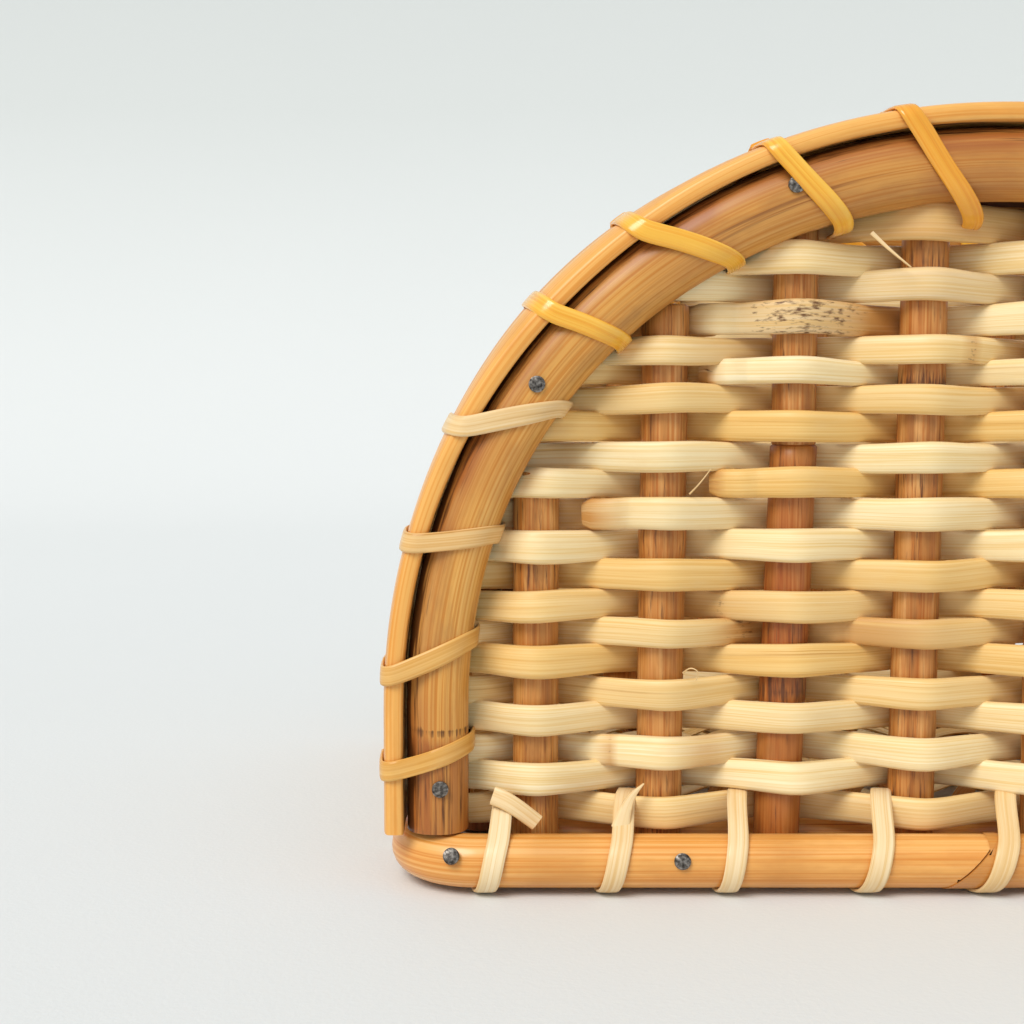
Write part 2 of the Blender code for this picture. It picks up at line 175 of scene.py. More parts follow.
@dataclass(frozen=True)
class RattanFinish:
    """The surface of one kind of rattan: streaks and fibres that follow the grain, stains and sheen."""

    name: str
    slot: str
    crack: str  # the few thinnest, darkest lines
    dark: str
    body: str
    light: str
    deep: str  # multiplies the colour of the strands with the highest tone
    stain: str = "B8752E"
    # the colour of real dark marks, also used for painted shade
    soot: str = "3A2015"
    streak: tuple[float, float] = (60.0, 1.6)  # mm along and across the grain
    fibre: tuple[float, float] = (14.0, 0.5)
    fibre_shade: str = "D9C09A"
    speck: tuple[float, float] = (3.0, 1.0)
    blotch: str = "C99A5C"
    blotch_share: float = 0.25
    relief: float = 0.08  # mm
    rough: tuple[float, float] = (0.45, 0.62)
    coat: float = 0.0
    grain: Grain = Grain.STRAND

    def vector(self, tree: bpy.types.NodeTree, size: tuple[float, float]) -> bpy.types.NodeSocket:
        """A coordinate that counts one for each pattern of this size.

        Args:
            tree: the material's nodes.
            size: mm along and across the grain.

        Returns:
            The socket of the scaled coordinate, shifted by each strand's own tone.
        """
        along, across = (1000.0 / mm for mm in size)
        tone = add(tree, "ShaderNodeAttribute", attribute_name="tone")
        slide = add(tree, "ShaderNodeMath", {0: tone.outputs["Fac"], 1: 43.0}, operation="MULTIPLY")
        shift = add(tree, "ShaderNodeCombineXYZ", {"X": slide.outputs[0], "Z": slide.outputs[0]})
        if self.grain is Grain.STRAND:
            source = add(tree, "ShaderNodeUVMap", uv_map=GRAIN_UV).outputs["UV"]
            scale = (along, across, 1.0)
        else:
            source = add(tree, "ShaderNodeTexCoord").outputs["Object"]
            scale = (across, across, along) if self.grain is Grain.UPRIGHT else (across, along, across)
        return add(
            tree, "ShaderNodeVectorMath", {0: source, 1: scale, 2: shift.outputs[0]},
            operation="MULTIPLY_ADD",
        ).outputs[0]

    def material(self) -> bpy.types.Material:
        """The finish's material, made once.

        Returns:
            The material of this name.
        """
        if self.name in bpy.data.materials:
            return bpy.data.materials[self.name]
        made = bpy.data.materials.new(self.name)
        made.use_nodes = True
        tree = made.node_tree
        shader = tree.nodes["Principled BSDF"]
        streaks = add(
            tree, "ShaderNodeTexNoise",
            {"Vector": self.vector(tree, self.streak), "Scale": 1.0, "Detail": 3.0, "Roughness": 0.6},
        )
        fibres = add(
            tree, "ShaderNodeTexNoise",
            {"Vector": self.vector(tree, self.fibre), "Scale": 1.0, "Detail": 2.0, "Roughness": 0.5},
        )
        blotches = add(
            tree, "ShaderNodeTexNoise",
            {"Vector": self.vector(tree, (22.0, 7.0)), "Scale": 1.0, "Detail": 4.0, "Roughness": 0.65},
        )
        base = add(
            tree, "ShaderNodeValToRGB", {"Fac": streaks.outputs["Fac"]},
            stops=[(0.28, self.crack), (0.35, self.dark), (0.5, self.body), (0.68, self.light)],
        )
        tone = add(tree, "ShaderNodeAttribute", attribute_name="tone")
        tint = add(
            tree, "ShaderNodeValToRGB", {"Fac": tone.outputs["Fac"]},
            stops=[(0.2, "FFFFFF"), (1.0, self.deep)],
        )
        colour = self.mixed(tree, 1.0, base.outputs[0], tint.outputs[0], "MULTIPLY")
        line = add(
            tree, "ShaderNodeValToRGB", {"Fac": fibres.outputs["Fac"]},
            stops=[(0.36, self.fibre_shade), (0.56, "FFFFFF")],
        )
        colour = self.mixed(tree, 1.0, colour, line.outputs[0], "MULTIPLY")
        share = add(
            tree, "ShaderNodeMapRange",
            {"Value": blotches.outputs["Fac"], FROM_LOW: 0.48, FROM_HIGH: 0.72, TO_HIGH: self.blotch_share},
        )
        colour = self.mixed(tree, share.outputs[0], colour, linear(self.blotch))
        ragged = add(
            tree, "ShaderNodeMapRange",
            {"Value": streaks.outputs["Fac"], FROM_LOW: 0.30, FROM_HIGH: 0.52, TO_LOW: 0.25},
        )
        mark = add(tree, "ShaderNodeAttribute", attribute_name="stain")
        much = add(
            tree, "ShaderNodeMath", {0: mark.outputs["Fac"], 1: ragged.outputs[0]}, operation="MULTIPLY"
        )
        colour = self.mixed(tree, much.outputs[0], colour, linear(self.stain))
        # This mark darkens a piece towards the dark colour: real knots, mould spots and joints, and painted
        # shade under the cap and along the split poles.
        specks = add(
            tree, "ShaderNodeTexNoise",
            {"Vector": self.vector(tree, self.speck), "Scale": 1.0, "Detail": 3.0, "Roughness": 0.6},
        )
        mark = add(tree, "ShaderNodeAttribute", attribute_name="soot")
        reach = add(
            tree, "ShaderNodeMath", {0: mark.outputs["Fac"], 1: specks.outputs["Fac"]}, operation="ADD"
        )
        much = add(
            tree, "ShaderNodeMapRange",
            {"Value": reach.outputs[0], FROM_LOW: 0.86, FROM_HIGH: 1.04, TO_HIGH: 0.92},
        )
        colour = self.mixed(tree, much.outputs[0], colour, linear(self.soot))
        worn = add(
            tree, "ShaderNodeMapRange",
            {
                "Value": streaks.outputs["Fac"], FROM_LOW: 0.35, FROM_HIGH: 0.65,
                TO_LOW: self.rough[1], TO_HIGH: self.rough[0],
            },
        )
        height = add(
            tree, "ShaderNodeMath", {0: streaks.outputs["Fac"], 1: 0.8, 2: fibres.outputs["Fac"]},
            operation="MULTIPLY_ADD",
        )
        bump = add(
            tree, "ShaderNodeBump",
            {"Strength": 1.0, "Distance": self.relief * MM, "Height": height.outputs[0]},
        )
        shader.inputs["Coat Weight"].default_value = self.coat
        shader.inputs["Coat Roughness"].default_value = 0.22
        shader.inputs["IOR"].default_value = 1.5
        shader.inputs["Specular IOR Level"].default_value = 0.35
        for socket, source in (
            ("Base Color", colour), ("Roughness", worn.outputs[0]), ("Normal", bump.outputs[0])
        ):
            tree.links.new(source, shader.inputs[socket])
        return made

    @staticmethod
    def mixed(
        tree: bpy.types.NodeTree,
        factor: float | bpy.types.NodeSocket,
        first: tuple | bpy.types.NodeSocket,
        second: tuple | bpy.types.NodeSocket,
        blend: str = "MIX",
    ) -> bpy.types.NodeSocket:
        """The socket of one colour laid over another.

        Args:
            tree: the material's nodes.
            factor: how much of the second colour, as a number or socket.
            first: the colour underneath, as a value or socket.
            second: the colour on top, as a value or socket.
            blend: the Mix node's blend type.

        Returns:
            The mixed colour's socket.
        """
        node = add(
            tree, "ShaderNodeMix", {MIX_FACTOR: factor, MIX_A: first, MIX_B: second},
            data_type="RGBA", blend_type=blend,
        )
        return node.outputs[MIX_OUT]

    def dress(self, piece: bpy.types.Object) -> None:
        """Give a piece this finish."""
        piece.data.materials.clear()
        piece.data.materials.append(self.material())


# Rattan core, split and peeled to flat-oval reed: pale and dry, with faint tan pith lines.
PEELED_REED = RattanFinish(
    "peeled_rattan_reed", "weaver", crack="D9B47A", dark="F3DAA6", body="F8E2B2", light="FCEBC4",
    deep="F3DAAA", streak=(110.0, 1.3), fibre=(40.0, 0.35), fibre_shade="F6EACF", blotch="EAC88E",
    blotch_share=0.5, relief=0.03, rough=(0.40, 0.54), speck=(2.2, 0.8), soot="5C3218", stain="C68C4A",
)
# Whole rattan poles with the skin on, weathered orange-brown with a few dark lengthwise cracks.
STAKE_RATTAN = RattanFinish(
    "brown_rattan_pole", "stake", crack="6B3D1C", dark="B67B3C", body="D2944E", light="E8B470",
    deep="C99C80", streak=(34.0, 2.6), fibre=(30.0, 0.5), fibre_shade="E6C6A0", blotch="8E5A2C",
    blotch_share=0.85, relief=0.04, rough=(0.38, 0.52), coat=0.12, grain=Grain.UPRIGHT, speck=(9.0, 0.6),
    soot="5E351C",
)
# A pole sawn in half lengthwise: golden skin with brown weather streaks and cracks, satin.
SPLIT_POLE = RattanFinish(
    "split_rattan_pole", "arch_pole", crack="8A5628", dark="D19A50", body="DFA654", light="EAB969",
    deep="E6C492", stain="A4602A", soot="50290F", streak=(90.0, 2.2), fibre=(60.0, 0.5),
    fibre_shade="EBD0A4", blotch="AE7A3E", blotch_share=0.75, speck=(16.0, 0.9), relief=0.04,
    rough=(0.36, 0.52), coat=0.12,
)
# Split rattan strip with its smooth skin outwards: even orange-tan and satin.
CAP_RATTAN = RattanFinish(
    "split_rattan_strip", "cap_strip", crack="B87A3C", dark="E8AA56", body="EEB05A", light="F3BC6C",
    deep="F0D4AC", streak=(180.0, 1.9), fibre=(60.0, 0.5), fibre_shade="F4DDB8", speck=(16.0, 0.8),
    blotch="CE8F42",
    blotch_share=0.5, relief=0.025, rough=(0.34, 0.48), coat=0.15,
)
# Thick pole kept round and bent by heat, its skin polished by handling: orange-tan and glossy.
BASE_RATTAN = RattanFinish(
    "bent_rattan_pole", "base_pole", crack="B0703A", dark="E0A052", body="EAAB5C", light="F4BD76",
    deep="E8C8A0", streak=(150.0, 1.8), fibre=(60.0, 0.5), fibre_shade="F2D8B0", blotch="CC8640",
    blotch_share=0.55, relief=0.025, rough=(0.26, 0.38), coat=0.3, speck=(16.0, 0.8),
)
# Flat cane, the skin of the rattan peeled off in a strip: pale straw with a soft sheen.
PALE_CANE = RattanFinish(
    "flat_straw_cane", "cane", crack="CDA568", dark="EBD0A0", body="F0D9AE", light="F6E3BE",
    deep="F0CB86", streak=(90.0, 1.1), fibre=(50.0, 0.4), fibre_shade="F3E4C8", blotch="DDB272",
    blotch_share=0.5, relief=0.02, rough=(0.32, 0.46), coat=0.15,
)
# Flat cane cut from the golden part of the skin: saturated yellow and glossy.
GOLDEN_CANE = RattanFinish(
    "flat_golden_cane", "golden_cane", crack="C88C2C", dark="F0B33C", body="F5BB44", light="FAC656",
    deep="F0D09C", streak=(90.0, 1.4), fibre=(50.0, 0.5), fibre_shade="F8E3B4", blotch="E2A43A",
    blotch_share=0.35, relief=0.012, rough=(0.2, 0.3), coat=0.5,
)
# The round rod inside the rim and the floor sticks. The rod is peeled core, coloured dark brown as painted
# shade because it shows only in the shaded groove between the split poles; the floor sticks are a little
# darker.
SHADED_CORE_RATTAN = RattanFinish(
    "rattan_core_rod", "arch_pole", crack="4E2E14", dark="7E532A", body="9A6A3A", light="B98A52",
    deep="FFFFFF", streak=(40.0, 1.5), relief=0.06, rough=(0.5, 0.65), grain=Grain.UPRIGHT,
)
FLOOR_RATTAN = RattanFinish(
    "rattan_floor_stick", "stake", crack="5E3717", dark="9A6330", body="B67C42", light="CC9558",
    deep="FFFFFF", streak=(60.0, 1.2), relief=0.06, rough=(0.4, 0.58), grain=Grain.ACROSS,
)


@dataclass(frozen=True)
class SteelFinish:
    """Drawn steel wire nails, dulled grey by a thin oxide, with darker specks."""

    name: str = "dull_steel_nail"
    slot: str = "nail"

    def material(self) -> bpy.types.Material:
        """The steel's material, made once.

        Returns:
            The material of this name.
        """
        if self.name in bpy.data.materials:
            return bpy.data.materials[self.name]
        made = bpy.data.materials.new(self.name)
        made.use_nodes = True
        tree = made.node_tree
        shader = tree.nodes["Principled BSDF"]
        place = add(tree, "ShaderNodeTexCoord").outputs["Object"]
        specks = add(tree, "ShaderNodeTexNoise", {"Vector": place, "Scale": 1000 / 0.8, "Detail": 3.0})
        colour = add(
            tree, "ShaderNodeValToRGB", {"Fac": specks.outputs["Fac"]},
            stops=[(0.35, "35302D"), (0.5, "625D58"), (0.68, "9A948E")],
        )
        rough = add(
            tree, "ShaderNodeMapRange",
            {
                "Value": specks.outputs["Fac"], FROM_LOW: 0.3, FROM_HIGH: 0.7,
                TO_LOW: 0.55, TO_HIGH: 0.32,
            },
        )
        bump = add(
            tree, "ShaderNodeBump", {"Strength": 0.6, "Distance": 0.08 * MM, "Height": specks.outputs["Fac"]}
        )
        shader.inputs["Metallic"].default_value = 0.75
        tree.links.new(colour.outputs[0], shader.inputs["Base Color"])
        tree.links.new(rough.outputs[0], shader.inputs["Roughness"])
        tree.links.new(bump.outputs[0], shader.inputs["Normal"])
        return made

    def dress(self, piece: bpy.types.Object) -> None:
        """Give a piece this finish."""
        piece.data.materials.clear()
        piece.data.materials.append(self.material())


NAIL_STEEL = SteelFinish()


# ---------------------------------------------------------------- strands


@dataclass
class Strand:
    """One bent length of rattan as rings of points, with what its finish reads at each point.

    grid holds n rings of m points. tone is the strand's own colour tone, stain marks stained places, and the
    dark mark gives real dark places and painted shade.
    """

    grid: np.ndarray
    tone: float = 0.3
    stain: np.ndarray | None = None
    soot: np.ndarray | None = None

    def faces(self) -> tuple[np.ndarray, np.ndarray]:
        """The strand's side faces and the grain coordinates of their corners.

        Returns:
            (count, 4) point numbers and (count, 4, 2) coordinates, turned to face outwards.
        """
        rings, around = self.grid.shape[:2]
        middle = self.grid.mean(axis=1)
        along = np.concatenate([[0], np.cumsum(np.linalg.norm(np.diff(middle, axis=0), axis=1))])
        loop = np.vstack([self.grid[rings // 2], self.grid[rings // 2][:1]])
        girth = np.concatenate([[0], np.cumsum(np.linalg.norm(np.diff(loop, axis=0), axis=1))])
        i, j = np.meshgrid(np.arange(rings - 1), np.arange(around), indexing="ij")
        i, j = i.ravel(), j.ravel()
        here, ahead, beside = i * around, (i + 1) * around, (j + 1) % around
        quads = np.stack([here + j, ahead + j, ahead + beside, here + beside], 1)
        coords = np.stack(
            [
                np.stack([along[i], girth[j]], 1), np.stack([along[i + 1], girth[j]], 1),
                np.stack([along[i + 1], girth[j + 1]], 1), np.stack([along[i], girth[j + 1]], 1),
            ],
            1,
        )
        flat = self.grid.reshape(-1, 3)
        a, b, c = (flat[quads[:, k]] for k in (0, 1, 2))
        outward = flat - np.repeat(middle, around, axis=0)
        normal = np.cross(b - a, c - a)
        if np.sum(normal * outward[quads[:, 0]]) < 0:
            quads, coords = quads[:, ::-1], coords[:, ::-1]
        return quads, coords


def build_strands(name: str, strands: list[Strand], sharp: float = 50.0) -> bpy.types.Object:
    """One piece from one or more strands, each closed at its ends.

    Args:
        name: the piece's name.
        strands: the lengths that it is made of.
        sharp: the angle in degrees past which an edge is left sharp.

    Returns:
        The new object, at the origin, with the grain map and the marks that its finish reads.
    """
    points, faces, coords = [], [], []
    marks = {"tone": [], "stain": [], "soot": []}
    start = 0
    for strand in strands:
        rings, around = strand.grid.shape[:2]
        quads, corner = strand.faces()
        faces += (quads + start).tolist()
        coords.append(corner.reshape(-1, 2))
        flip = quads[0][0] > quads[0][1]
        for ring, head in ((0, False), (rings - 1, True)):
            cap = list(range(start + ring * around, start + (ring + 1) * around))
            if head == flip:
                cap.reverse()
            faces.append(cap)
            angle = np.arange(around) / around * 2 * math.pi
            disc = np.stack([np.cos(angle), np.sin(angle)], 1) * MM
            coords.append(disc[::-1] if head == flip else disc)
        points.append(strand.grid.reshape(-1, 3))
        marks["tone"].append(np.full(rings * around, strand.tone))
        for key, values in (("stain", strand.stain), ("soot", strand.soot)):
            marks[key].append(np.zeros(rings * around) if values is None else values.ravel())
        start += rings * around
    mesh = bpy.data.meshes.new(name)
    mesh.from_pydata(np.concatenate(points).tolist(), [], faces)
    layer = mesh.uv_layers.new(name=GRAIN_UV)
    layer.data.foreach_set("uv", np.concatenate(coords).astype(np.float32).ravel())
    for key, values in marks.items():
        attribute = mesh.attributes.new(key, "FLOAT", "POINT")
        attribute.data.foreach_set("value", np.clip(np.concatenate(values), 0, 1).astype(np.float32))
    caps_outward(mesh)
    mesh.shade_smooth()
    mesh.set_sharp_from_angle(angle=math.radians(sharp))
    piece = bpy.data.objects.new(name, mesh)
    bpy.context.scene.collection.objects.link(piece)
    return piece


def caps_outward(mesh: bpy.types.Mesh) -> None:
    """Turn every face of a mesh of closed strands to point outwards."""
    bm = bmesh.new()
    bm.from_mesh(mesh)
    bmesh.ops.recalc_face_normals(bm, faces=bm.faces[:])
    bm.to_mesh(mesh)
    bm.free()


def unit(vectors: np.ndarray) -> np.ndarray:
    """Vectors made one long."""
    return vectors / np.maximum(np.linalg.norm(vectors, axis=-1, keepdims=True), 1e-12)


def oval(sides: int, power: float) -> np.ndarray:
    """A superellipse of half sizes one, as (across, thickness) pairs.

    Args:
        sides: how many points.
        power: 2 is an ellipse, and more is squarer.

    Returns:
        An array of (sides, 2), which starts at the bottom edge.
    """
    angle = np.arange(sides) / sides * 2 * math.pi - math.pi / 2
    cos, sin = np.cos(angle), np.sin(angle)
    bend = 2 / power
    return np.stack([np.sign(sin) * np.abs(sin) ** bend, np.sign(cos) * np.abs(cos) ** bend], 1)


def ribbon(
    path: np.ndarray, facing: np.ndarray, half_width: float | np.ndarray, half_thick: float | np.ndarray,
    section: np.ndarray,
) -> np.ndarray:
    """Rings of a flat strand along a path.

    Args:
        path: (n, 3) middle points.
        facing: (n, 3) the way that the strand's flat side looks.
        half_width: one number or n of them.
        half_thick: one number or n of them.
        section: the outline, as oval gives it.

    Returns:
        An array of (n, sides, 3).
    """
    tangent = unit(np.gradient(path, axis=0))
    across = unit(np.cross(facing, tangent))
    face = np.cross(tangent, across)
    wide = np.broadcast_to(half_width, len(path))[:, None, None] * section[None, :, 0:1]
    thick = np.broadcast_to(half_thick, len(path))[:, None, None] * section[None, :, 1:2]
    return path[:, None] + across[:, None] * wide + face[:, None] * thick


def wobble(values: np.ndarray, rng: np.random.Generator, length: float) -> np.ndarray:
    """A smooth random swing between about -1 and 1.

    Args:
        values: where it is wanted, in metres.
        rng: the source of its phases.
        length: the length of its longest wave, in metres.

    Returns:
        One number for each value.
    """
    total = np.zeros_like(values, dtype=float)
    for wave in (1.0, 2.3, 4.1):
        total += np.sin(values / length * wave * 2 * math.pi + rng.uniform(0, 2 * math.pi)) / wave
    return total / 1.6


def smooth_step(value: np.ndarray) -> np.ndarray:
    """0 below 0, 1 above 1, and a smooth S between."""
    held = np.clip(value, 0, 1)
    return held * held * (3 - 2 * held)


def resampled(keys: np.ndarray, count: int) -> np.ndarray:
    """A rounded path through key points, as count evenly spaced points.

    Args:
        keys: (n, k) key points.
        count: how many points are wanted.

    Returns:
        An array of (count, k).
    """
    points = keys
    for _ in range(3):
        a, b = points[:-1], points[1:]
        cut = np.stack([a * 0.75 + b * 0.25, a * 0.25 + b * 0.75], 1).reshape(-1, points.shape[1])
        points = np.vstack([points[:1], cut, points[-1:]])
    steps = np.linalg.norm(np.diff(points[:, -3:], axis=0), axis=1)
    runs = np.concatenate([[0], np.cumsum(steps)])
    even = np.linspace(0, runs[-1], count)
    return np.stack([np.interp(even, runs, points[:, k]) for k in range(points.shape[1])], 1)


def finish_piece(
    piece: bpy.types.Object, finish: RattanFinish | SteelFinish, *nodes: str
) -> bpy.types.Object:
    """Dress a piece, put it on the basket's body and hide the CAD nodes that it stands for.

    Args:
        piece: the finished object.
        finish: its finish.
        nodes: the CAD nodes it replaces.

    Returns:
        The same object.
    """
    finish.dress(piece)
    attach(piece, "root")
    if nodes:
        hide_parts(*nodes)
    log.info("%s: %d faces, %s", piece.name, len(piece.data.polygons), finish.name)
    return piece


# ---------------------------------------------------------------- edges that the rims follow


@dataclass
class ArchEdge:
    """The outer edge of a tall side: two straight legs and half a superellipse between them."""

    half_width: float = 123.6 * MM
    spring: float = 36.0 * MM
    rise: float = 122.2 * MM
    power: float = 2.08
    foot: float = 12.3 * MM
    steps: int = 160
    points: np.ndarray = field(init=False)
    runs: np.ndarray = field(init=False)
    inward: np.ndarray = field(init=False)

    def __post_init__(self) -> None:
        """Work out the edge's points, runs and inward directions."""
        angle = np.linspace(0, math.pi, self.steps + 1)
        bend = 2 / self.power
        x = -self.half_width * np.sign(np.cos(angle)) * np.abs(np.cos(angle)) ** bend
        z = self.spring + self.rise * np.abs(np.sin(angle)) ** bend
        leg = np.linspace(self.foot, self.spring, 9)[:-1]
        left = np.stack([np.full(len(leg), -self.half_width), leg], 1)
        right = np.stack([np.full(len(leg), self.half_width), leg[::-1]], 1)
        self.points = np.vstack([left, np.stack([x, z], 1), right])
        steps = np.linalg.norm(np.diff(self.points, axis=0), axis=1)
        self.runs = np.concatenate([[0.0], np.cumsum(steps)])
        along = unit(np.gradient(self.points, self.runs, axis=0))
        self.inward = np.stack([along[:, 1], -along[:, 0]], 1)

    @property
    def ends(self) -> tuple[float, float]:
        """The first and last run."""
        return 0.0, float(self.runs[-1])

    def place(self, run: np.ndarray, depth: np.ndarray, outward: np.ndarray) -> np.ndarray:
        """Points in the wall's own frame.

        Args:
            run: metres along the edge.
            depth: metres inside it.
            outward: metres in front of the wall's middle plane.

        Returns:
            Points with x, y, z on the last axis.
        """
        run, depth, outward = np.broadcast_arrays(run, depth, outward)
        x, z = (np.interp(run, self.runs, self.points[:, k]) for k in (0, 1))
        nx, nz = (np.interp(run, self.runs, self.inward[:, k]) for k in (0, 1))
        return np.stack([x + depth * nx, -outward, z + depth * nz], axis=-1)

    def half_at(self, height: np.ndarray, depth: float) -> np.ndarray:
        """Half the opening's width at some heights, this deep inside the edge.

        Args:
            height: metres above the ground.
            depth: metres inside the edge.

        Returns:
            Metres from the middle, zero above the opening.
        """
        inner = self.place(self.runs, depth, 0.0)
        half = inner[: len(inner) // 2 + 1]
        order = np.argsort(half[:, 2])
        return np.interp(height, half[order, 2], -half[order, 0], left=-half[order[0], 0], right=0.0)


@dataclass
class StraightEdge:
    """The top edge of a low end."""

    half_length: float = 45.7 * MM
    top: float = 63.7 * MM

    @property
    def ends(self) -> tuple[float, float]:
        """The first and last run."""
        return -self.half_length, self.half_length

    def place(self, run: np.ndarray, depth: np.ndarray, outward: np.ndarray) -> np.ndarray:
        """Points in the wall's own frame, as ArchEdge.place gives them."""
        run, depth, outward = np.broadcast_arrays(run, depth, outward)
        return np.stack([run, -outward, self.top - depth], axis=-1)

    def half_at(self, height: np.ndarray, depth: float) -> np.ndarray:
        """Half the wall's length, the same at every height."""
        return np.full(np.shape(height), self.half_length)


# ---------------------------------------------------------------- woven panels


@dataclass(frozen=True)
class Mark:
    """A mark on one weaver: where, how long, and how much stain and soot."""

    row: int
    at: float  # mm from the wall's middle
    reach: float  # mm
    stain: float = 0.0
    soot: float = 0.0


@dataclass
class WovenPanel:
    """Peeled reed woven in front of and behind a row of upright stakes."""

    wall: Wall
    edge: ArchEdge | StraightEdge
    stakes: list[float]
    rows: list[float]
    seed: int
    marks: list[Mark] = field(default_factory=list)
    splices: list[tuple[int, float]] = field(default_factory=list)  # row, and mm from the middle
    half_height: float = 3.35 * MM
    top_half_height: float = 3.35 * MM  # of the last weaver, under the rim
    half_thick: float = 1.3 * MM
    swing: float = 6.4 * MM
    softness: float = 0.2  # how round the reed bends over a stake
    overlap: float = 5.0 * MM
    tuck_depth: float = 16.2 * MM
    rim_depth: float = 17.5 * MM
    step: float = 1.7 * MM
    sides: int = 14

    def build(self) -> None:
        """Build every weaver of the panel."""
        for number, height in enumerate(self.rows):
            piece = build_strands(f"{self.wall.label}_weaver_{number + 1}", self.weaver(number, height))
            finish_piece(piece, PEELED_REED, f"{self.wall.label}_weave")

    def half_tall(self, number: int) -> float:
        """Half a weaver's height: it fills the room between the weavers below and above it."""
        below = self.rows[number] - self.rows[number - 1] if number else 5.9 * MM
        above = self.rows[number + 1] - self.rows[number] if number + 1 < len(self.rows) else 5.9 * MM
        if number + 1 == len(self.rows):
            return self.top_half_height
        return min(0.25 * (below + above) + 0.2 * MM, self.half_height)

    def weaver(self, number: int, height: float) -> list[Strand]:
        """One weaver from rim to rim, in two lengths where a new reed is laid in.

        Args:
            number: the row, from 0 at the bottom.
            height: the row's height in metres.

        Returns:
            Its strands.
        """
        half = float(self.edge.half_at(np.array(height), self.tuck_depth))
        laid_in = [at * MM for row, at in self.splices if row == number]
        starts = [-half, *laid_in]
        stops = [at + self.overlap for at in laid_in] + [half]
        return [
            self.reed(number, height, half, start, stop, part)
            for part, (start, stop) in enumerate(zip(starts, stops))
        ]

    def reed(self, number: int, height: float, half: float, start: float, stop: float, part: int) -> Strand:
        """One length of reed.

        Args:
            number: the row.
            height: the row's height in metres.
            half: half the row's whole length.
            start: where this length starts along the wall.
            stop: where it stops.
            part: 0 for the first length, and more for the ones laid over it.

        Returns:
            The strand.
        """
        rng = np.random.default_rng(self.seed + number * 7 + part)
        open_half = float(self.edge.half_at(np.array(height), self.rim_depth))
        x = np.linspace(start, stop, max(6, round((stop - start) / self.step)))
        pitch = self.stakes[1] - self.stakes[0]
        phase = (x - self.stakes[0]) / pitch
        side = 1.0 if number % 2 else -1.0
        away = np.abs(phase - np.round(phase))
        top, soft = math.sqrt(1 + self.softness**2), self.softness
        wave = (top - np.sqrt((2 * away) ** 2 + soft**2)) / (top - soft)
        wave *= np.where(np.round(phase) % 2 == 0, 1.0, -1.0)
        inside = open_half - np.abs(x)
        held = 0.45 + 0.55 * smooth_step((inside + 1 * MM) / (10 * MM))
        limit = np.where(inside < 1.5 * MM, 3.4 * MM, self.swing)
        outward = np.clip(side * wave * self.swing * held, -limit, limit)
        if part:
            outward += 2.3 * self.half_thick * smooth_step(1 - (x - start - self.overlap) / (5 * MM))
        lift = wobble(x, rng, 0.09) * 0.35 * MM + 0.25 * MM * side * wave
        swell = 0.03 * wobble(x, rng, 0.05) + 0.07 * np.abs(wave) - 0.03
        tall = self.half_tall(number) * (1.0 + swell)
        blunt = 1 - 0.22 * smooth_step(1 - (x - start) / (1.2 * MM)) * (part > 0)
        thick = self.half_thick * (1.0 + 0.08 * wobble(x, rng, 0.06)) * blunt
        tilt = 0.10 * wobble(x, rng, 0.08) + 0.10 * side * wave * rng.choice([-1, 1])
        path = np.stack([x, -outward, height + lift], 1)
        facing = np.stack([np.zeros(len(x)), -np.cos(tilt), np.sin(tilt)], 1)
        grid = self.trimmed(ribbon(path, facing, tall * blunt, thick, oval(self.sides, 2.9)), x, half)
        stain, soot = np.zeros(grid.shape[:2]), np.zeros(grid.shape[:2])
        for mark in self.marks:
            if mark.row == number:
                near = np.exp(-(((x - mark.at * MM) / (mark.reach * MM)) ** 2))[:, None]
                stain, soot = stain + near * mark.stain, soot + near * mark.soot
        if part:
            stain = stain + 0.6 * smooth_step(1 - (x - start) / (4 * MM))[:, None]
        return Strand(self.wall.place(grid), float(rng.uniform(0, 1)), stain, soot)

    def trimmed(self, grid: np.ndarray, x: np.ndarray, half: float) -> np.ndarray:
        """Slant a weaver's ends so that they follow the rim.

        Args:
            grid: the weaver's rings.
            x: each ring's place along the wall.
            half: how far the weaver reaches from the middle.

        Returns:
            The rings with their ends slanted.
        """
        near = smooth_step(1 - (half - np.abs(x)) / (14 * MM))[:, None]
        own = self.edge.half_at(grid[..., 2], self.tuck_depth)
        shift = np.clip(own - half, -9 * MM, 6 * MM) * near * np.sign(x)[:, None]
        grid[..., 0] += shift
        return grid


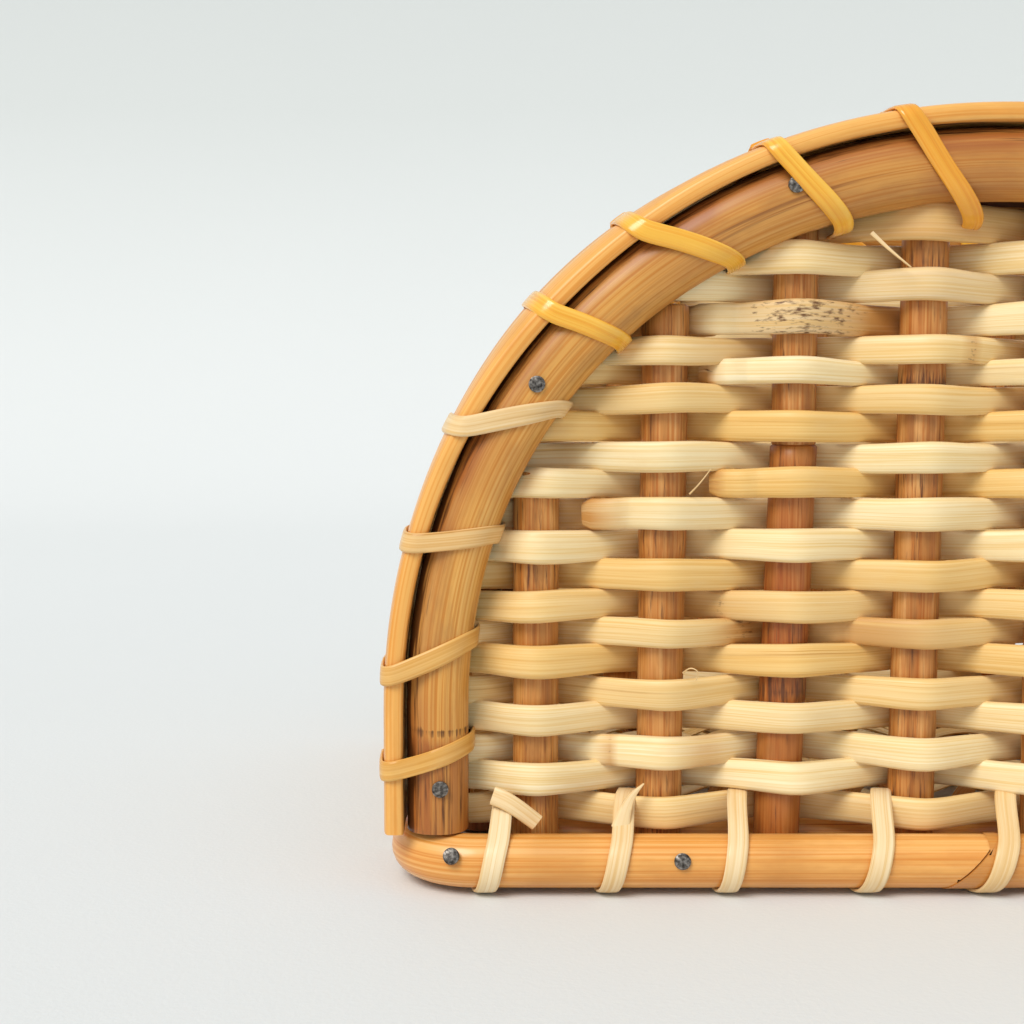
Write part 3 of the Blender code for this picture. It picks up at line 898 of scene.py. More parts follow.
@dataclass
class UprightStake:
    """A whole rattan pole that stands in the base and holds the weave."""

    node: str
    lean: float = 0.0  # metres that its foot stands to the side of its top
    bottom: float | None = None
    top: float | None = None
    suffix: str = ""
    tone: float = 0.4
    shrink: float = 0.0
    seed: int = 0
    joints: tuple[float, ...] = ()

    def build(self) -> bpy.types.Object:
        """Build and dress the stake.

        Returns:
            The new object.
        """
        low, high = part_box(self.node)
        bottom = low.z if self.bottom is None else self.bottom
        top = high.z if self.top is None else self.top
        radius = (high.x - low.x) / 2 - self.shrink
        middle = (low + high) / 2
        bpy.ops.object.select_all(action="DESELECT")
        bpy.ops.mesh.primitive_cylinder_add(
            vertices=22, radius=radius, depth=top - bottom, location=(middle.x, middle.y, (top + bottom) / 2)
        )
        piece = bpy.context.active_object
        piece.name = piece.data.name = self.node + self.suffix
        bpy.ops.object.transform_apply(location=True, rotation=True, scale=True)
        bpy.ops.object.mode_set(mode="EDIT")
        bpy.ops.mesh.select_mode(type="EDGE")
        bpy.ops.mesh.select_all(action="DESELECT")
        bm = bmesh.from_edit_mesh(piece.data)
        for edge in bm.edges:
            edge.select = abs(edge.verts[0].co.z - edge.verts[1].co.z) > (top - bottom) / 2
        bmesh.update_edit_mesh(piece.data)
        bpy.ops.mesh.subdivide(number_cuts=max(6, round((top - bottom) / (4 * MM))))
        bpy.ops.mesh.select_all(action="DESELECT")
        bm = bmesh.from_edit_mesh(piece.data)
        for face in bm.faces:
            face.select = len(face.verts) > 4
        bmesh.update_edit_mesh(piece.data)
        bpy.ops.mesh.inset(thickness=radius * 0.12, depth=radius * 0.10)
        bpy.ops.object.mode_set(mode="OBJECT")
        self.weather(piece.data, middle, bottom, top)
        piece.data.shade_smooth()
        piece.data.set_sharp_from_angle(angle=math.radians(55))
        return finish_piece(piece, STAKE_RATTAN, self.node)

    def weather(self, mesh: bpy.types.Mesh, middle: Vector, bottom: float, top: float) -> None:
        """Lean the stake, swell its joints and write the marks its finish reads.

        Args:
            mesh: the stake's mesh.
            middle: the middle of its CAD node.
            bottom: its foot's height.
            top: its top's height.
        """
        count = len(mesh.vertices)
        points = np.zeros(count * 3)
        mesh.vertices.foreach_get("co", points)
        points = points.reshape(-1, 3)
        rng = np.random.default_rng(self.seed)
        height = points[:, 2]
        share = (top - height) / (top - bottom)
        swell = 1 + 0.012 * wobble(height, rng, 0.06)
        soot = np.zeros(count)
        for joint in self.joints:
            near = (height - joint * MM) / (1.6 * MM)
            swell += 0.05 * np.exp(-(near**2))
            soot += 0.2 * np.exp(-((near + 0.8) ** 2) * 3)
        points[:, 0] = middle.x + (points[:, 0] - middle.x) * swell + self.lean * share
        points[:, 1] = middle.y + (points[:, 1] - middle.y) * swell
        mesh.vertices.foreach_set("co", points.ravel())
        stain = 0.4 * smooth_step(0.2 + wobble(height, rng, 0.06))
        soot += 0.27 + 0.1 * wobble(height, rng, 0.05)
        for key, values in (("tone", np.full(count, self.tone)), ("soot", soot), ("stain", stain)):
            attribute = mesh.attributes.new(key, "FLOAT", "POINT")
            attribute.data.foreach_set("value", np.clip(values, 0, 1).astype(np.float32))


# ---------------------------------------------------------------- rims


@dataclass(frozen=True)
class Turn:
    """One turn of cane around a rim: runs where it crosses the outer edge and goes in, in mm."""

    over: float
    into: float
    golden: bool = False
    tone: float = 0.3
    deeper: float = 0.0  # mm past the pole's inner edge, where it also holds the top weaver


@dataclass
class Rim:
    """A wall's rim: two split poles, a cap strip and the cane wound round them."""

    wall: Wall
    edge: ArchEdge | StraightEdge
    turns: list[Turn]
    last: float  # where the last turn's cane ends on the back, in mm
    pole: str = "pole"
    cap_half: float = 12.0 * MM
    cap_thick: float = 4.2 * MM
    crown: float = 0.6 * MM
    shoulder_crown: float = 1.8 * MM
    shoulder_lift: float = 0.9 * MM
    pole_flat: float = 5.05 * MM
    pole_bulge: float = 7.0 * MM
    pole_top: float = 4.5 * MM
    pole_low: float = 17.5 * MM
    foot_inset: float = 0.3 * MM  # how much narrower the pole starts at its foot
    apex_drop: float = 1.9 * MM
    cane_half: float = 2.05 * MM
    cane_thick: float = 0.42 * MM
    seed: int = 7

    def runs(self, step: float = 2.2 * MM) -> np.ndarray:
        """Evenly spaced runs from end to end."""
        start, end = self.edge.ends
        return np.linspace(start, end, max(12, round((end - start) / step)))

    def share(self, run: np.ndarray) -> np.ndarray:
        """0 at either end of the rim and 1 in its middle."""
        start, end = self.edge.ends
        return 1 - np.abs(2 * (run - start) / (end - start) - 1)

    def pole_edges(self, run: np.ndarray) -> tuple[np.ndarray, np.ndarray]:
        """How deep the split poles start and stop.

        Args:
            run: metres along the edge.

        Returns:
            The upper and lower depths in metres.
        """
        share = self.share(run)
        foot = self.foot_inset * (1 - smooth_step(share / 0.35))
        drop = self.apex_drop * smooth_step((share - 0.25) / 0.6)
        return self.pole_top + 0.1 * MM + foot + 0.1 * drop, self.pole_low - 0.1 * MM + drop

    def crown_at(self, run: np.ndarray) -> np.ndarray:
        """How far the cap's front edge lies below its crown."""
        return self.crown + self.shoulder_crown * self.shoulder(run)

    def shoulder(self, run: np.ndarray) -> np.ndarray:
        """1 where the rim bends most, between a leg and the top, and 0 elsewhere."""
        return np.exp(-(((self.share(run) - 0.56) / 0.17) ** 2))

    def build(self) -> None:
        """Build the poles, the cap and the cane."""
        self.build_cap()
        for layer, sign in (("outer", 1.0), ("inner", -1.0)):
            self.build_pole(layer, sign)
        self.build_cane()

    def build_cap(self) -> None:
        """Build the strip that covers the rim's edge, crowned and rounded."""
        run = self.runs()
        outline = oval(36, 6.0)
        across, thick = outline[:, 1], outline[:, 0]
        rng = np.random.default_rng(self.seed)
        wide = self.cap_half * (1 + 0.012 * wobble(run, rng, 0.12))[:, None]
        depth = self.crown_at(run)[:, None] * across**2 + (0.5 - 0.5 * thick) * self.cap_thick
        depth -= self.shoulder_lift * self.shoulder(run)[:, None]
        grid = self.edge.place(run[:, None], depth, -across * wide)
        # The cap's underside, which faces the pole, is painted darker: painted shade.
        soot = np.broadcast_to(0.45 * smooth_step((-thick - 0.55) / 0.4), grid.shape[:2])
        strand = Strand(self.wall.place(grid), 0.25, None, soot)
        piece = build_strands(f"{self.wall.label}_cap_strip", [strand])
        finish_piece(piece, CAP_RATTAN, f"{self.wall.label}_cap_strip")

    def build_pole(self, layer: str, sign: float) -> None:
        """Build one split pole, flat against the stakes and round outside.

        Args:
            layer: outer or inner.
            sign: 1 for the pole in front of the stakes and -1 behind.
        """
        run = self.runs(1.0 * MM)
        rng = np.random.default_rng(self.seed + 5 + int(sign))
        upper, lower = self.pole_edges(run)
        angle = np.concatenate([np.linspace(0, math.pi, 25), np.linspace(math.pi, 2 * math.pi, 9)[1:-1]])
        cos, sin = np.cos(angle), np.sin(angle)
        centre, half = ((lower + upper) / 2)[:, None], ((lower - upper) / 2)[:, None]
        joint = np.exp(-(((run - 20.4 * MM) / (1.8 * MM)) ** 2))
        bulge = np.where(sin > 0, np.abs(sin) ** (2 / 2.4), 0.0)
        size = 1 + 0.02 * wobble(run, rng, 0.14) + 0.02 * joint
        depth = centre - half * np.sign(cos) * np.abs(cos) ** (2 / 2.1)
        outward = sign * (self.pole_flat + self.pole_bulge * np.minimum(size, 1.0)[:, None] * bulge)
        grid = self.edge.place(run[:, None], depth, outward)
        share, foot = self.share(run), run - self.edge.ends[0]
        # Dark along the edge next to the cap, narrowing towards the top: partly the pole's dark-stained
        # skin, partly painted shade where the cap shades it. The flat side against the stakes is painted
        # darker too: painted shade.
        reach = (1.9 * MM + 0.8 * MM * wobble(run, rng, 0.06)) * (1 - 0.55 * smooth_step(share / 0.5))
        from_edge = depth - upper[:, None]
        soot = smooth_step(1.3 - from_edge / reach[:, None]) + 0.8 * (sin < -0.05)
        ring = np.exp(-(((foot - 20.6 * MM) / (0.7 * MM)) ** 2))
        below = smooth_step((20 * MM - foot) / (2 * MM))
        soot = np.maximum(soot, (0.72 * ring + 0.33 * below)[:, None])
        # A wider, fainter dark band along the same edge: stained skin and painted shade.
        soot = np.maximum(soot, 0.40 * smooth_step(1.4 - from_edge / (4 * MM)))
        patches = smooth_step(0.2 + 1.2 * wobble(run, rng, 0.07))
        red = (0.55 * below + 0.25 * patches + 0.35 * smooth_step((share - 0.55) / 0.3))[:, None]
        red = red + (0.6 + 0.3 * patches[:, None]) * smooth_step(1.2 - from_edge / (6 * MM))
        strand = Strand(self.wall.place(grid), 0.3, red, soot)
        name = f"{self.wall.label}_{layer}_{self.pole}"
        finish_piece(build_strands(name, [strand]), SPLIT_POLE, name)

    def cane_keys(self, turn: Turn, following: float) -> np.ndarray:
        """Key points of one turn of cane, from the crown round the rim and back to the crown.

        Args:
            turn: where it crosses.
            following: the run where the next turn crosses the edge, in mm.

        Returns:
            Rows of run, depth and outward, in metres.
        """
        half, out = self.cap_half, self.pole_flat + self.pole_bulge
        over, into = turn.over * MM, turn.into * MM
        deep = float(self.pole_edges(np.array(into))[1]) + turn.deeper * MM
        crown = float(self.crown_at(np.array(over)))
        lift = self.cane_thick + 0.1 * MM + self.shoulder_lift * float(self.shoulder(np.array(over)))
        thick = self.cane_thick + 0.25 * MM
        face = max(half, out) + thick
        section = [
            (-lift, 0.0), (-lift + crown * 0.25, half * 0.5), (-lift + crown, half - 0.9 * MM),
            (crown + 0.9 * MM, half + thick), (crown + 3.0 * MM, face), (deep * 0.52, face),
            (deep * 0.78, face - 0.6 * MM), (deep * 0.96, out * 0.79), (deep + thick + 0.2 * MM, out * 0.46),
            (deep + thick + 0.15 * MM, 0.0),
        ]
        down = [0.0, 0.0, 0.01, 0.04, 0.12, 0.42, 0.72, 0.95, 1.0, 1.0]
        rows = []
        for (depth, outward), share in zip(section, down):
            rows.append((over + (into - over) * share, depth, outward))
        after = following * MM
        for (depth, outward), share in list(zip(section, down))[-2::-1]:
            rows.append((after + (into - after) * share, depth, -outward))
        return np.array(rows)

    def build_cane(self) -> None:
        """Build the turns of cane, pale ones and golden ones as separate pieces."""
        kinds = {False: [], True: []}
        rng = np.random.default_rng(self.seed + 40)
        for number, turn in enumerate(self.turns):
            following = self.turns[number + 1].over if number + 1 < len(self.turns) else self.last
            keys = resampled(self.cane_keys(turn, following), 84)
            path = self.edge.place(*keys.T)
            slope = np.gradient(keys[:, 1:], axis=0)
            normal = unit(np.stack([-slope[:, 1], slope[:, 0]], 1))
            lifted = keys[:, 1:] + normal * MM
            beyond = self.edge.place(keys[:, 0], lifted[:, 0], lifted[:, 1])
            width = self.cane_half * (1 + 0.05 * wobble(np.arange(84) * MM, rng, 0.06))
            grid = ribbon(path, unit(beyond - path), width, self.cane_thick, oval(CANE_SIDES, 3.6))
            kinds[turn.golden].append(Strand(self.wall.place(grid), turn.tone))
        for golden, strands in kinds.items():
            if not strands:
                continue
            name = f"{self.wall.label}_rim_{'golden' if golden else 'straw'}_cane"
            piece = build_strands(name, strands)
            finish_piece(piece, GOLDEN_CANE if golden else PALE_CANE, f"{self.wall.label}_rim_lashing")


# ---------------------------------------------------------------- base


@dataclass
class BaseRing:
    """A whole pole bent into a ring, whose two ends meet at a slanting scarf joint."""

    name: str
    bend: float
    scarf: float
    turn: float = 0.0
    radius: float = 5.4 * MM
    centre_z: float = 6.6 * MM
    sides: int = 26

    def stations(self) -> tuple[np.ndarray, np.ndarray]:
        """Middle points and outward directions from one end of the pole round to the other.

        Returns:
            Two arrays of (n, 2).
        """
        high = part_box(self.name)[1]
        half_x, half_y = high.x - self.radius, high.y - self.radius
        centres, outs = [], []
        corners = [(1, -1), (1, 1), (-1, 1), (-1, -1)]
        for number, (sx, sy) in enumerate(corners):
            middle = np.array([sx * (half_x - self.bend), sy * (half_y - self.bend)])
            for angle in np.radians(np.linspace(-90, 0, 13) + 90 * number):
                out = np.array([math.cos(angle), math.sin(angle)])
                centres.append(middle + out * self.bend)
                outs.append(out)
        start, end = np.array([self.scarf, -half_y]), np.array([self.scarf - 0.45 * MM, -half_y])
        centres, outs = [start, *centres, end], [np.array([0.0, -1.0]), *outs, np.array([0.0, -1.0])]
        dense, facing = [], []
        for a, b, u, v in zip(centres[:-1], centres[1:], outs[:-1], outs[1:]):
            parts = max(1, round(float(np.linalg.norm(b - a)) / (3 * MM)))
            for share in np.arange(parts) / parts:
                dense.append(a + (b - a) * share)
                facing.append(unit(u + (v - u) * share))
        return np.array([*dense, centres[-1]]), np.array([*facing, outs[-1]])

    def build(self) -> None:
        """Build and dress the ring."""
        middle, out = self.stations()
        angle = np.arange(self.sides) / self.sides * 2 * math.pi + math.pi
        u, v = np.cos(angle), np.sin(angle)
        runs = np.concatenate([[0], np.cumsum(np.linalg.norm(np.diff(middle, axis=0), axis=1))])
        rng = np.random.default_rng(31)
        size = self.radius * (1 + 0.012 * wobble(runs, rng, 0.2) - 0.012)
        size *= 1 + 0.045 * smooth_step(1 - runs / (14 * MM))  # thicker where it laps at the scarf
        slant = smooth_step(1 - np.minimum(runs, runs[-1] - runs) / (0.01 * MM))
        tangent = np.stack([-out[:, 1], out[:, 0]], 1)
        flat = out[:, None] * (size[:, None, None] * u[None, :, None])
        flat = flat + tangent[:, None] * (slant[:, None, None] * size[:, None, None] * v[None, :, None])
        grid = np.concatenate(
            [middle[:, None] + flat, (self.centre_z + size[:, None] * v[None, :])[..., None]], axis=2
        )
        turn = math.radians(self.turn)
        x, y = grid[..., 0].copy(), grid[..., 1].copy()
        grid[..., 0] = x * math.cos(turn) - y * math.sin(turn)
        grid[..., 1] = x * math.sin(turn) + y * math.cos(turn)
        stain = 0.35 * smooth_step(wobble(runs, rng, 0.05))
        stain += 0.6 * smooth_step(1 - (runs - 9 * MM) / (5 * MM))  # the lapping end is darker
        stain = np.broadcast_to(stain[:, None], grid.shape[:2])
        piece = build_strands(self.name, [Strand(grid, 0.2, stain)])
        finish_piece(piece, BASE_RATTAN, self.name)


@dataclass
class BaseLashing:
    """Cane wound round both base rings and the lowest weaver along one wall."""

    wall: Wall
    stops: list[float]  # mm
    seed: int
    leans: dict[int, float] = field(default_factory=dict)  # mm, how far a turn's top is ahead of its foot
    ring_out: float = 10.45 * MM
    inner_out: float = 10.45 * MM
    ring_radius: float = 5.4 * MM
    ring_z: float = 6.6 * MM
    pass_z: float = 18.5 * MM
    cane_half: float = 2.1 * MM
    cane_thick: float = 0.42 * MM

    def build(self) -> None:
        """Build and dress the lashing."""
        rng = np.random.default_rng(self.seed)
        hug = self.ring_radius + self.cane_thick + 0.08 * MM
        low = self.ring_z - hug
        over = [
            (0.0, self.pass_z), (3.2 * MM, self.pass_z + 0.3 * MM), (6.6 * MM, self.pass_z - 1.0 * MM),
        ]
        round_ring = [
            (self.ring_out + hug * 1.04 * math.sin(a), self.ring_z + hug * 1.04 * math.cos(a))
            for a in np.radians([28, 58, 90, 122, 152])
        ]
        front = over + round_ring + [(self.ring_out, low), (self.ring_out * 0.5, low), (0.0, low)]
        strands = []
        for number, stop in enumerate(self.stops):
            following = self.stops[number + 1] if number + 1 < len(self.stops) else stop + 3.0
            lean = self.leans.get(number, rng.uniform(-1.6, 1.6))
            rows = []
            for index, (out, z) in enumerate(front):
                rows.append((stop + lean * (0.5 - index / len(front)), out, z))
            for index, (out, z) in enumerate(front[-2:0:-1]):
                share = smooth_step(np.array(1 - index / 3.0))
                inner = out * self.inner_out / self.ring_out
                rows.append((following - (following - stop) * 0.5 * float(share), -inner, z))
            rows = np.array(rows) * np.array([MM, 1.0, 1.0])
            keys = resampled(rows, 76)
            path = np.stack([keys[:, 0], -keys[:, 1], keys[:, 2]], 1)
            slope = np.gradient(keys[:, 1:], axis=0)
            facing = unit(np.stack([np.zeros(len(keys)), slope[:, 1], slope[:, 0]], 1))
            away = path - np.array([0.0, 0.0, self.ring_z])
            away[:, 0] = 0
            if np.sum(facing * away) < 0:
                facing = -facing
            width = self.cane_half * (1 + 0.06 * wobble(np.arange(76) * MM, rng, 0.05))
            grid = ribbon(path, facing, width, self.cane_thick, oval(CANE_SIDES, 3.6))
            strands.append(Strand(self.wall.place(grid), float(rng.uniform(0.0, 0.4))))
        piece = build_strands(f"{self.wall.label}_base_cane", strands)
        finish_piece(piece, PALE_CANE, f"{self.wall.label}_base_lashing")


@dataclass(frozen=True)
class Tail:
    """A loose end of cane or a stray fibre: points in the wall's frame and half widths, in mm."""

    name: str
    points: tuple[tuple[float, float, float], ...]
    wide: tuple[float, float]  # at its start and its end
    thick: float
    finish: RattanFinish


@dataclass
class LooseEnds:
    """The cut tails of cane and the stray fibres of one wall."""

    wall: Wall
    tails: list[Tail]

    def build(self) -> None:
        """Build and dress each loose end."""
        for tail in self.tails:
            keys = resampled(np.array(tail.points) * MM, 20)
            facing = np.broadcast_to(np.array([0.0, -1.0, 0.12]), keys.shape)
            wide = np.linspace(*tail.wide, len(keys)) * MM
            grid = ribbon(keys, facing, wide, tail.thick * MM, oval(10, 3.2))
            piece = build_strands(f"{self.wall.label}_{tail.name}", [Strand(self.wall.place(grid), 0.4)])
            finish_piece(piece, tail.finish)


@dataclass
class Nails:
    """Round-headed nails driven into one wall's rim and base: middle points and the way they face."""

    wall: Wall
    heads: list[tuple[tuple[float, float, float], tuple[float, float, float]]]
    radius: float = 1.65 * MM
    height: float = 0.9 * MM

    def build(self) -> None:
        """Build one head, copy it to each place and join the copies."""
        bpy.ops.object.select_all(action="DESELECT")
        bpy.ops.mesh.primitive_cylinder_add(vertices=20, radius=self.radius, depth=self.height)
        pattern = bpy.context.active_object
        bpy.ops.object.mode_set(mode="EDIT")
        bpy.ops.mesh.select_all(action="DESELECT")
        bm = bmesh.from_edit_mesh(pattern.data)
        for face in bm.faces:
            face.select = face.normal.z > 0.9
        bmesh.update_edit_mesh(pattern.data)
        bpy.ops.mesh.inset(thickness=self.radius * 0.2, depth=self.height * 0.18)
        bpy.ops.mesh.inset(thickness=self.radius * 0.4, depth=self.height * 0.12)
        bpy.ops.object.mode_set(mode="OBJECT")
        bm = bmesh.new()
        for place, facing in self.heads:
            copy = pattern.data.copy()
            ends = self.wall.place(np.array([place, np.add(place, facing)]) * MM)
            turn = Vector(ends[1] - ends[0]).to_track_quat("Z", "Y").to_matrix().to_4x4()
            turn.translation = Vector(ends[0])
            copy.transform(turn)
            bm.from_mesh(copy)
            bpy.data.meshes.remove(copy)
        bpy.data.objects.remove(pattern)
        mesh = bpy.data.meshes.new(f"{self.wall.label}_nails")
        bm.to_mesh(mesh)
        bm.free()
        mesh.shade_smooth()
        mesh.set_sharp_from_angle(angle=math.radians(35))
        piece = bpy.data.objects.new(mesh.name, mesh)
        bpy.context.scene.collection.objects.link(piece)
        finish_piece(piece, NAIL_STEEL)


# ---------------------------------------------------------------- sub-assemblies


@dataclass
class TallSide:
    """A D-shaped side: stakes, weave, rim, its share of the base cane, and nails."""

    wall: Wall
    seed: int
    rows: tuple[float, ...] = (
        14.9, 22.0, 27.3, 34.3, 39.5, 46.2, 51.7, 57.4, 63.7, 69.8, 76.2, 82.5, 87.7, 94.1, 99.5, 105.1,
        109.4, 115.8, 122.3, 127.9, 135.0,
    )  # mm, heights of the weavers
    left_turns: tuple[tuple[float, float, bool, float, float], ...] = (
        (12.8, 17.8, False, 1.0, 0.0), (32.0, 41.5, False, 0.95, 0.0), (59.5, 66.8, False, 0.7, 0.0),
        (84.6, 100.6, False, 0.45, 0.0), (114.4, 121.4, True, 0.3, 0.0), (138.5, 154.2, True, 0.25, 0.0),
        (170.6, 181.0, True, 0.2, 1.0), (197.2, 211.5, True, 0.8, 4.2),
    )
    base_stops: tuple[float, ...] = (-101.6, -76.9, -53.3, -24.7, -0.4, 26.4, 52.8, 79.2, 103.0)

    def build(self) -> None:
        """Build everything that belongs to this side."""
        edge = ArchEdge()
        boxes = [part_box(f"{self.wall.label}_stake_{n}") for n in range(1, 9)]
        places = sorted((low.x + high.x) / 2 for low, high in boxes)
        rows = [row * MM for row in self.rows]
        panel = WovenPanel(self.wall, edge, places, rows, self.seed, self.marks(), self.splices())
        panel.top_half_height = 3.9 * MM
        panel.build()
        self.build_stakes()
        whole = edge.ends[1] / MM
        turns = [Turn(*values) for values in self.left_turns]
        for over, into, golden, tone, deeper in reversed(self.left_turns[:7]):
            turns.append(Turn(whole - into - 13.0, whole - into, golden, tone, deeper))
        Rim(self.wall, edge, turns, whole - 8.0, seed=self.seed + 3).build()
        leans = {0: 7.5, 1: 7.7, 2: 6.0, 3: 8.5, 4: 12.0}
        BaseLashing(self.wall, list(self.base_stops), self.seed + 9, leans).build()
        Nails(self.wall, self.nail_heads()).build()
        LooseEnds(self.wall, self.tails()).build()
        SHADED_CORE_RATTAN.dress(frame["nodes"][f"{self.wall.label}_arch_core"])

    def tails(self) -> list[Tail]:
        """The loose ends of this side."""
        base = Tail(
            "cut_cane_tail",
            ((-101.2, -8.2, 19.4), (-98.5, -9.2, 18.6), (-95.5, -9.3, 16.6), (-92.2, -8.8, 13.9)),
            (1.9, 1.7), 0.42, PALE_CANE,
        )
        if self.wall is not Wall.FRONT:
            return [base]
        return [
            base,
            Tail(
                "pointed_cane_tail",
                ((-75.4, -11.2, 13.4), (-74.6, -10.1, 16.6), (-73.2, -9.3, 19.6), (-70.6, -8.7, 22.0)),
                (2.0, 0.15), 0.42, PALE_CANE,
            ),
            Tail(
                "twig_splinter", ((-26.0, -7.2, 132.6), (-22.6, -8.0, 129.2), (-18.6, -9.4, 125.6)),
                (0.5, 0.12), 0.25, PALE_CANE,
            ),
            Tail(
                "stray_fibre_low",
                ((-62.6, -6.4, 44.2), (-61.4, -8.6, 45.8), (-59.6, -9.0, 45.0), (-60.2, -8.4, 43.0)),
                (0.18, 0.08), 0.12, PALE_CANE,
            ),
            Tail(
                "stray_fibre_high", ((-61.5, -6.0, 80.6), (-59.8, -8.4, 82.8), (-57.6, -9.0, 85.8)),
                (0.2, 0.08), 0.12, PALE_CANE,
            ),
        ]

    def marks(self) -> list[Mark]:
        """The stains, knots and mould spots of this side's weavers."""
        if self.wall is Wall.FRONT:
            return [
                Mark(17, -38, 16, stain=0.4, soot=0.40), Mark(17, -22, 8, stain=0.9),
                Mark(16, -5.0, 1.2, stain=0.8, soot=0.5),
                Mark(15, -57.2, 1.6, stain=0.9, soot=0.4), Mark(11, -56.6, 2.5, stain=0.8),
                Mark(10, -80, 5, stain=0.8), Mark(7, -60, 14, stain=0.5), Mark(7, -54.3, 1.0, soot=0.5),
                Mark(6, -50, 6, stain=1.0, soot=0.3), Mark(6, -25, 16, stain=0.75),
                Mark(2, -77.0, 1.2, stain=0.8, soot=0.3), Mark(2, -58, 5, stain=0.55),
                Mark(20, -10, 40, stain=0.6), Mark(18, -12, 20, stain=0.35), Mark(16, -48, 14, stain=0.4),
            ]
        return [
            Mark(3, 41, 8, stain=0.7), Mark(8, -22, 2, stain=0.8, soot=0.5), Mark(12, 60, 10, stain=0.5),
            Mark(15, 8, 7, stain=0.8, soot=0.3), Mark(18, -40, 1.6, soot=0.8),
        ]

    def splices(self) -> list[tuple[int, float]]:
        """Rows and places where a new reed is laid in over the end of the last one."""
        if self.wall is Wall.FRONT:
            return [
                (11, -56.6), (10, -82.6), (6, -37.5), (17, -60.9), (15, -58.8), (7, 22.5), (13, 48.5),
                (4, 71.0),
            ]
        return [(3, -56.0), (9, 22.0), (12, 42.5), (16, -8.0), (6, 69.0)]

    def build_stakes(self) -> None:
        """Build the eight stakes; the third is made up of two lengths."""
        leans = {1: 0.0, 2: -0.9, 3: -2.9, 4: -1.2}
        tones = {1: 0.15, 2: 0.35, 3: 0.85, 4: 0.4, 5: 0.2, 6: 0.6, 7: 0.3, 8: 0.5}
        turned = 1.0 if self.wall is Wall.FRONT else -1.0
        for number in range(1, 9):
            joints = (38.0 + 11 * (number * 5 % 7), 122.0 - 9 * (number * 3 % 5))
            made = UprightStake(
                f"{self.wall.label}_stake_{number}", leans.get(number, 0.4) * MM * turned,
                tone=tones[number], seed=self.seed + number, joints=joints,
            )
            if number == 3:
                made.top, made.joints = 90.0 * MM, (41.0, 88.4)
                upper = UprightStake(
                    made.node, 0.0, bottom=90.6 * MM, suffix="_upper", tone=0.4, shrink=0.25 * MM,
                    seed=self.seed + 30, joints=(118.0,),
                )
                upper.build()
            made.build()

    def nail_heads(self) -> list[tuple[tuple[float, float, float], tuple[float, float, float]]]:
        """Middle points and facing directions of the nails, in the wall's own frame."""
        ahead = (0.0, -1.0, 0.0)
        left = [
            ((-111.7, -12.1, 21.7), ahead), ((-92.4, -12.1, 102.6), ahead), ((-41.8, -12.0, 141.4), ahead),
            ((-109.4, -15.4, 9.0), (0.0, -0.9, 0.44)), ((-63.4, -15.6, 8.0), (0.0, -0.96, 0.26)),
            ((-85.2, -8.6, 123.3), (-0.62, -0.35, 0.7)), ((-88.6, -1.0, 121.6), (-0.72, 0.0, 0.69)),
        ]
        right = [((-x, y, z), (-a, b, c)) for (x, y, z), (a, b, c) in left]
        return left + right


@dataclass
class LowEnd:
    """A low end: three stakes, six weavers, a straight rim and its share of the base cane."""

    wall: Wall
    seed: int
    rows: tuple[float, ...] = (15.2, 21.4, 27.6, 33.7, 39.9, 46.2)

    def build(self) -> None:
        """Build everything that belongs to this end."""
        edge = StraightEdge()
        label = self.wall.label
        panel = WovenPanel(
            self.wall, edge, [-24 * MM, 0.0, 24 * MM], [row * MM for row in self.rows], self.seed
        )
        panel.build()
        for number in (1, 2, 3):
            UprightStake(
                f"{label}_stake_{number}", tone=0.2 + 0.25 * number, seed=self.seed + number,
                joints=(30.0 + 7 * number,),
            ).build()
        stops = [-36.0, -12.0, 12.0, 36.0]
        turns = [Turn(stop - 6.0, stop, False, 0.3 + 0.1 * n) for n, stop in enumerate(stops)]
        Rim(
            self.wall, edge, turns, 40.0, pole="rail", cap_half=10.0 * MM, cap_thick=3.0 * MM,
            crown=0.5 * MM, shoulder_crown=0.0, shoulder_lift=0.0, pole_bulge=5.0 * MM,
            pole_top=3.3 * MM, pole_low=11.3 * MM, foot_inset=0.0, apex_drop=0.0, seed=self.seed,
        ).build()
        BaseLashing(self.wall, stops, self.seed + 9, ring_out=12.9 * MM).build()


@dataclass
class WovenFloor:
    """The floor: flat reed woven on six sticks that lie on the inner ring."""

    half_x: float = 86.2 * MM
    half_y: float = 41.5 * MM
    pitch: float = 5.9 * MM
    stick_radius: float = 3.0 * MM
    seed: int = 900

    def build(self) -> None:
        """Build the floor's weavers and dress its sticks."""
        sticks = [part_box(f"floor_stick_{n}") for n in range(1, 7)]
        places = sorted((a.x + b.x) / 2 for a, b in sticks)
        middle_z = (sticks[0][0].z + sticks[0][1].z) / 2
        count = int(2 * self.half_y / self.pitch)
        thick = 0.62 * MM
        for number in range(count):
            rng = np.random.default_rng(self.seed + number)
            y = (number - (count - 1) / 2) * self.pitch
            x = np.arange(-self.half_x, self.half_x + 1e-9, 1.9 * MM)
            wave = np.cos((x - places[0]) / (places[1] - places[0]) * math.pi)
            rise = (1 if number % 2 else -1) * wave * (self.stick_radius + thick)
            path = np.stack([x, y + wobble(x, rng, 0.09) * 0.2 * MM, middle_z + rise], 1)
            facing = np.broadcast_to(np.array([0.0, 0.0, 1.0]), path.shape)
            grid = ribbon(path, facing, 2.85 * MM, thick, oval(12, 3.0))
            piece = build_strands(f"floor_weaver_{number + 1}", [Strand(grid, float(rng.uniform(0, 1)))])
            finish_piece(piece, PEELED_REED, "floor_weave")
        for number in range(1, 7):
            FLOOR_RATTAN.dress(frame["nodes"][f"floor_stick_{number}"])


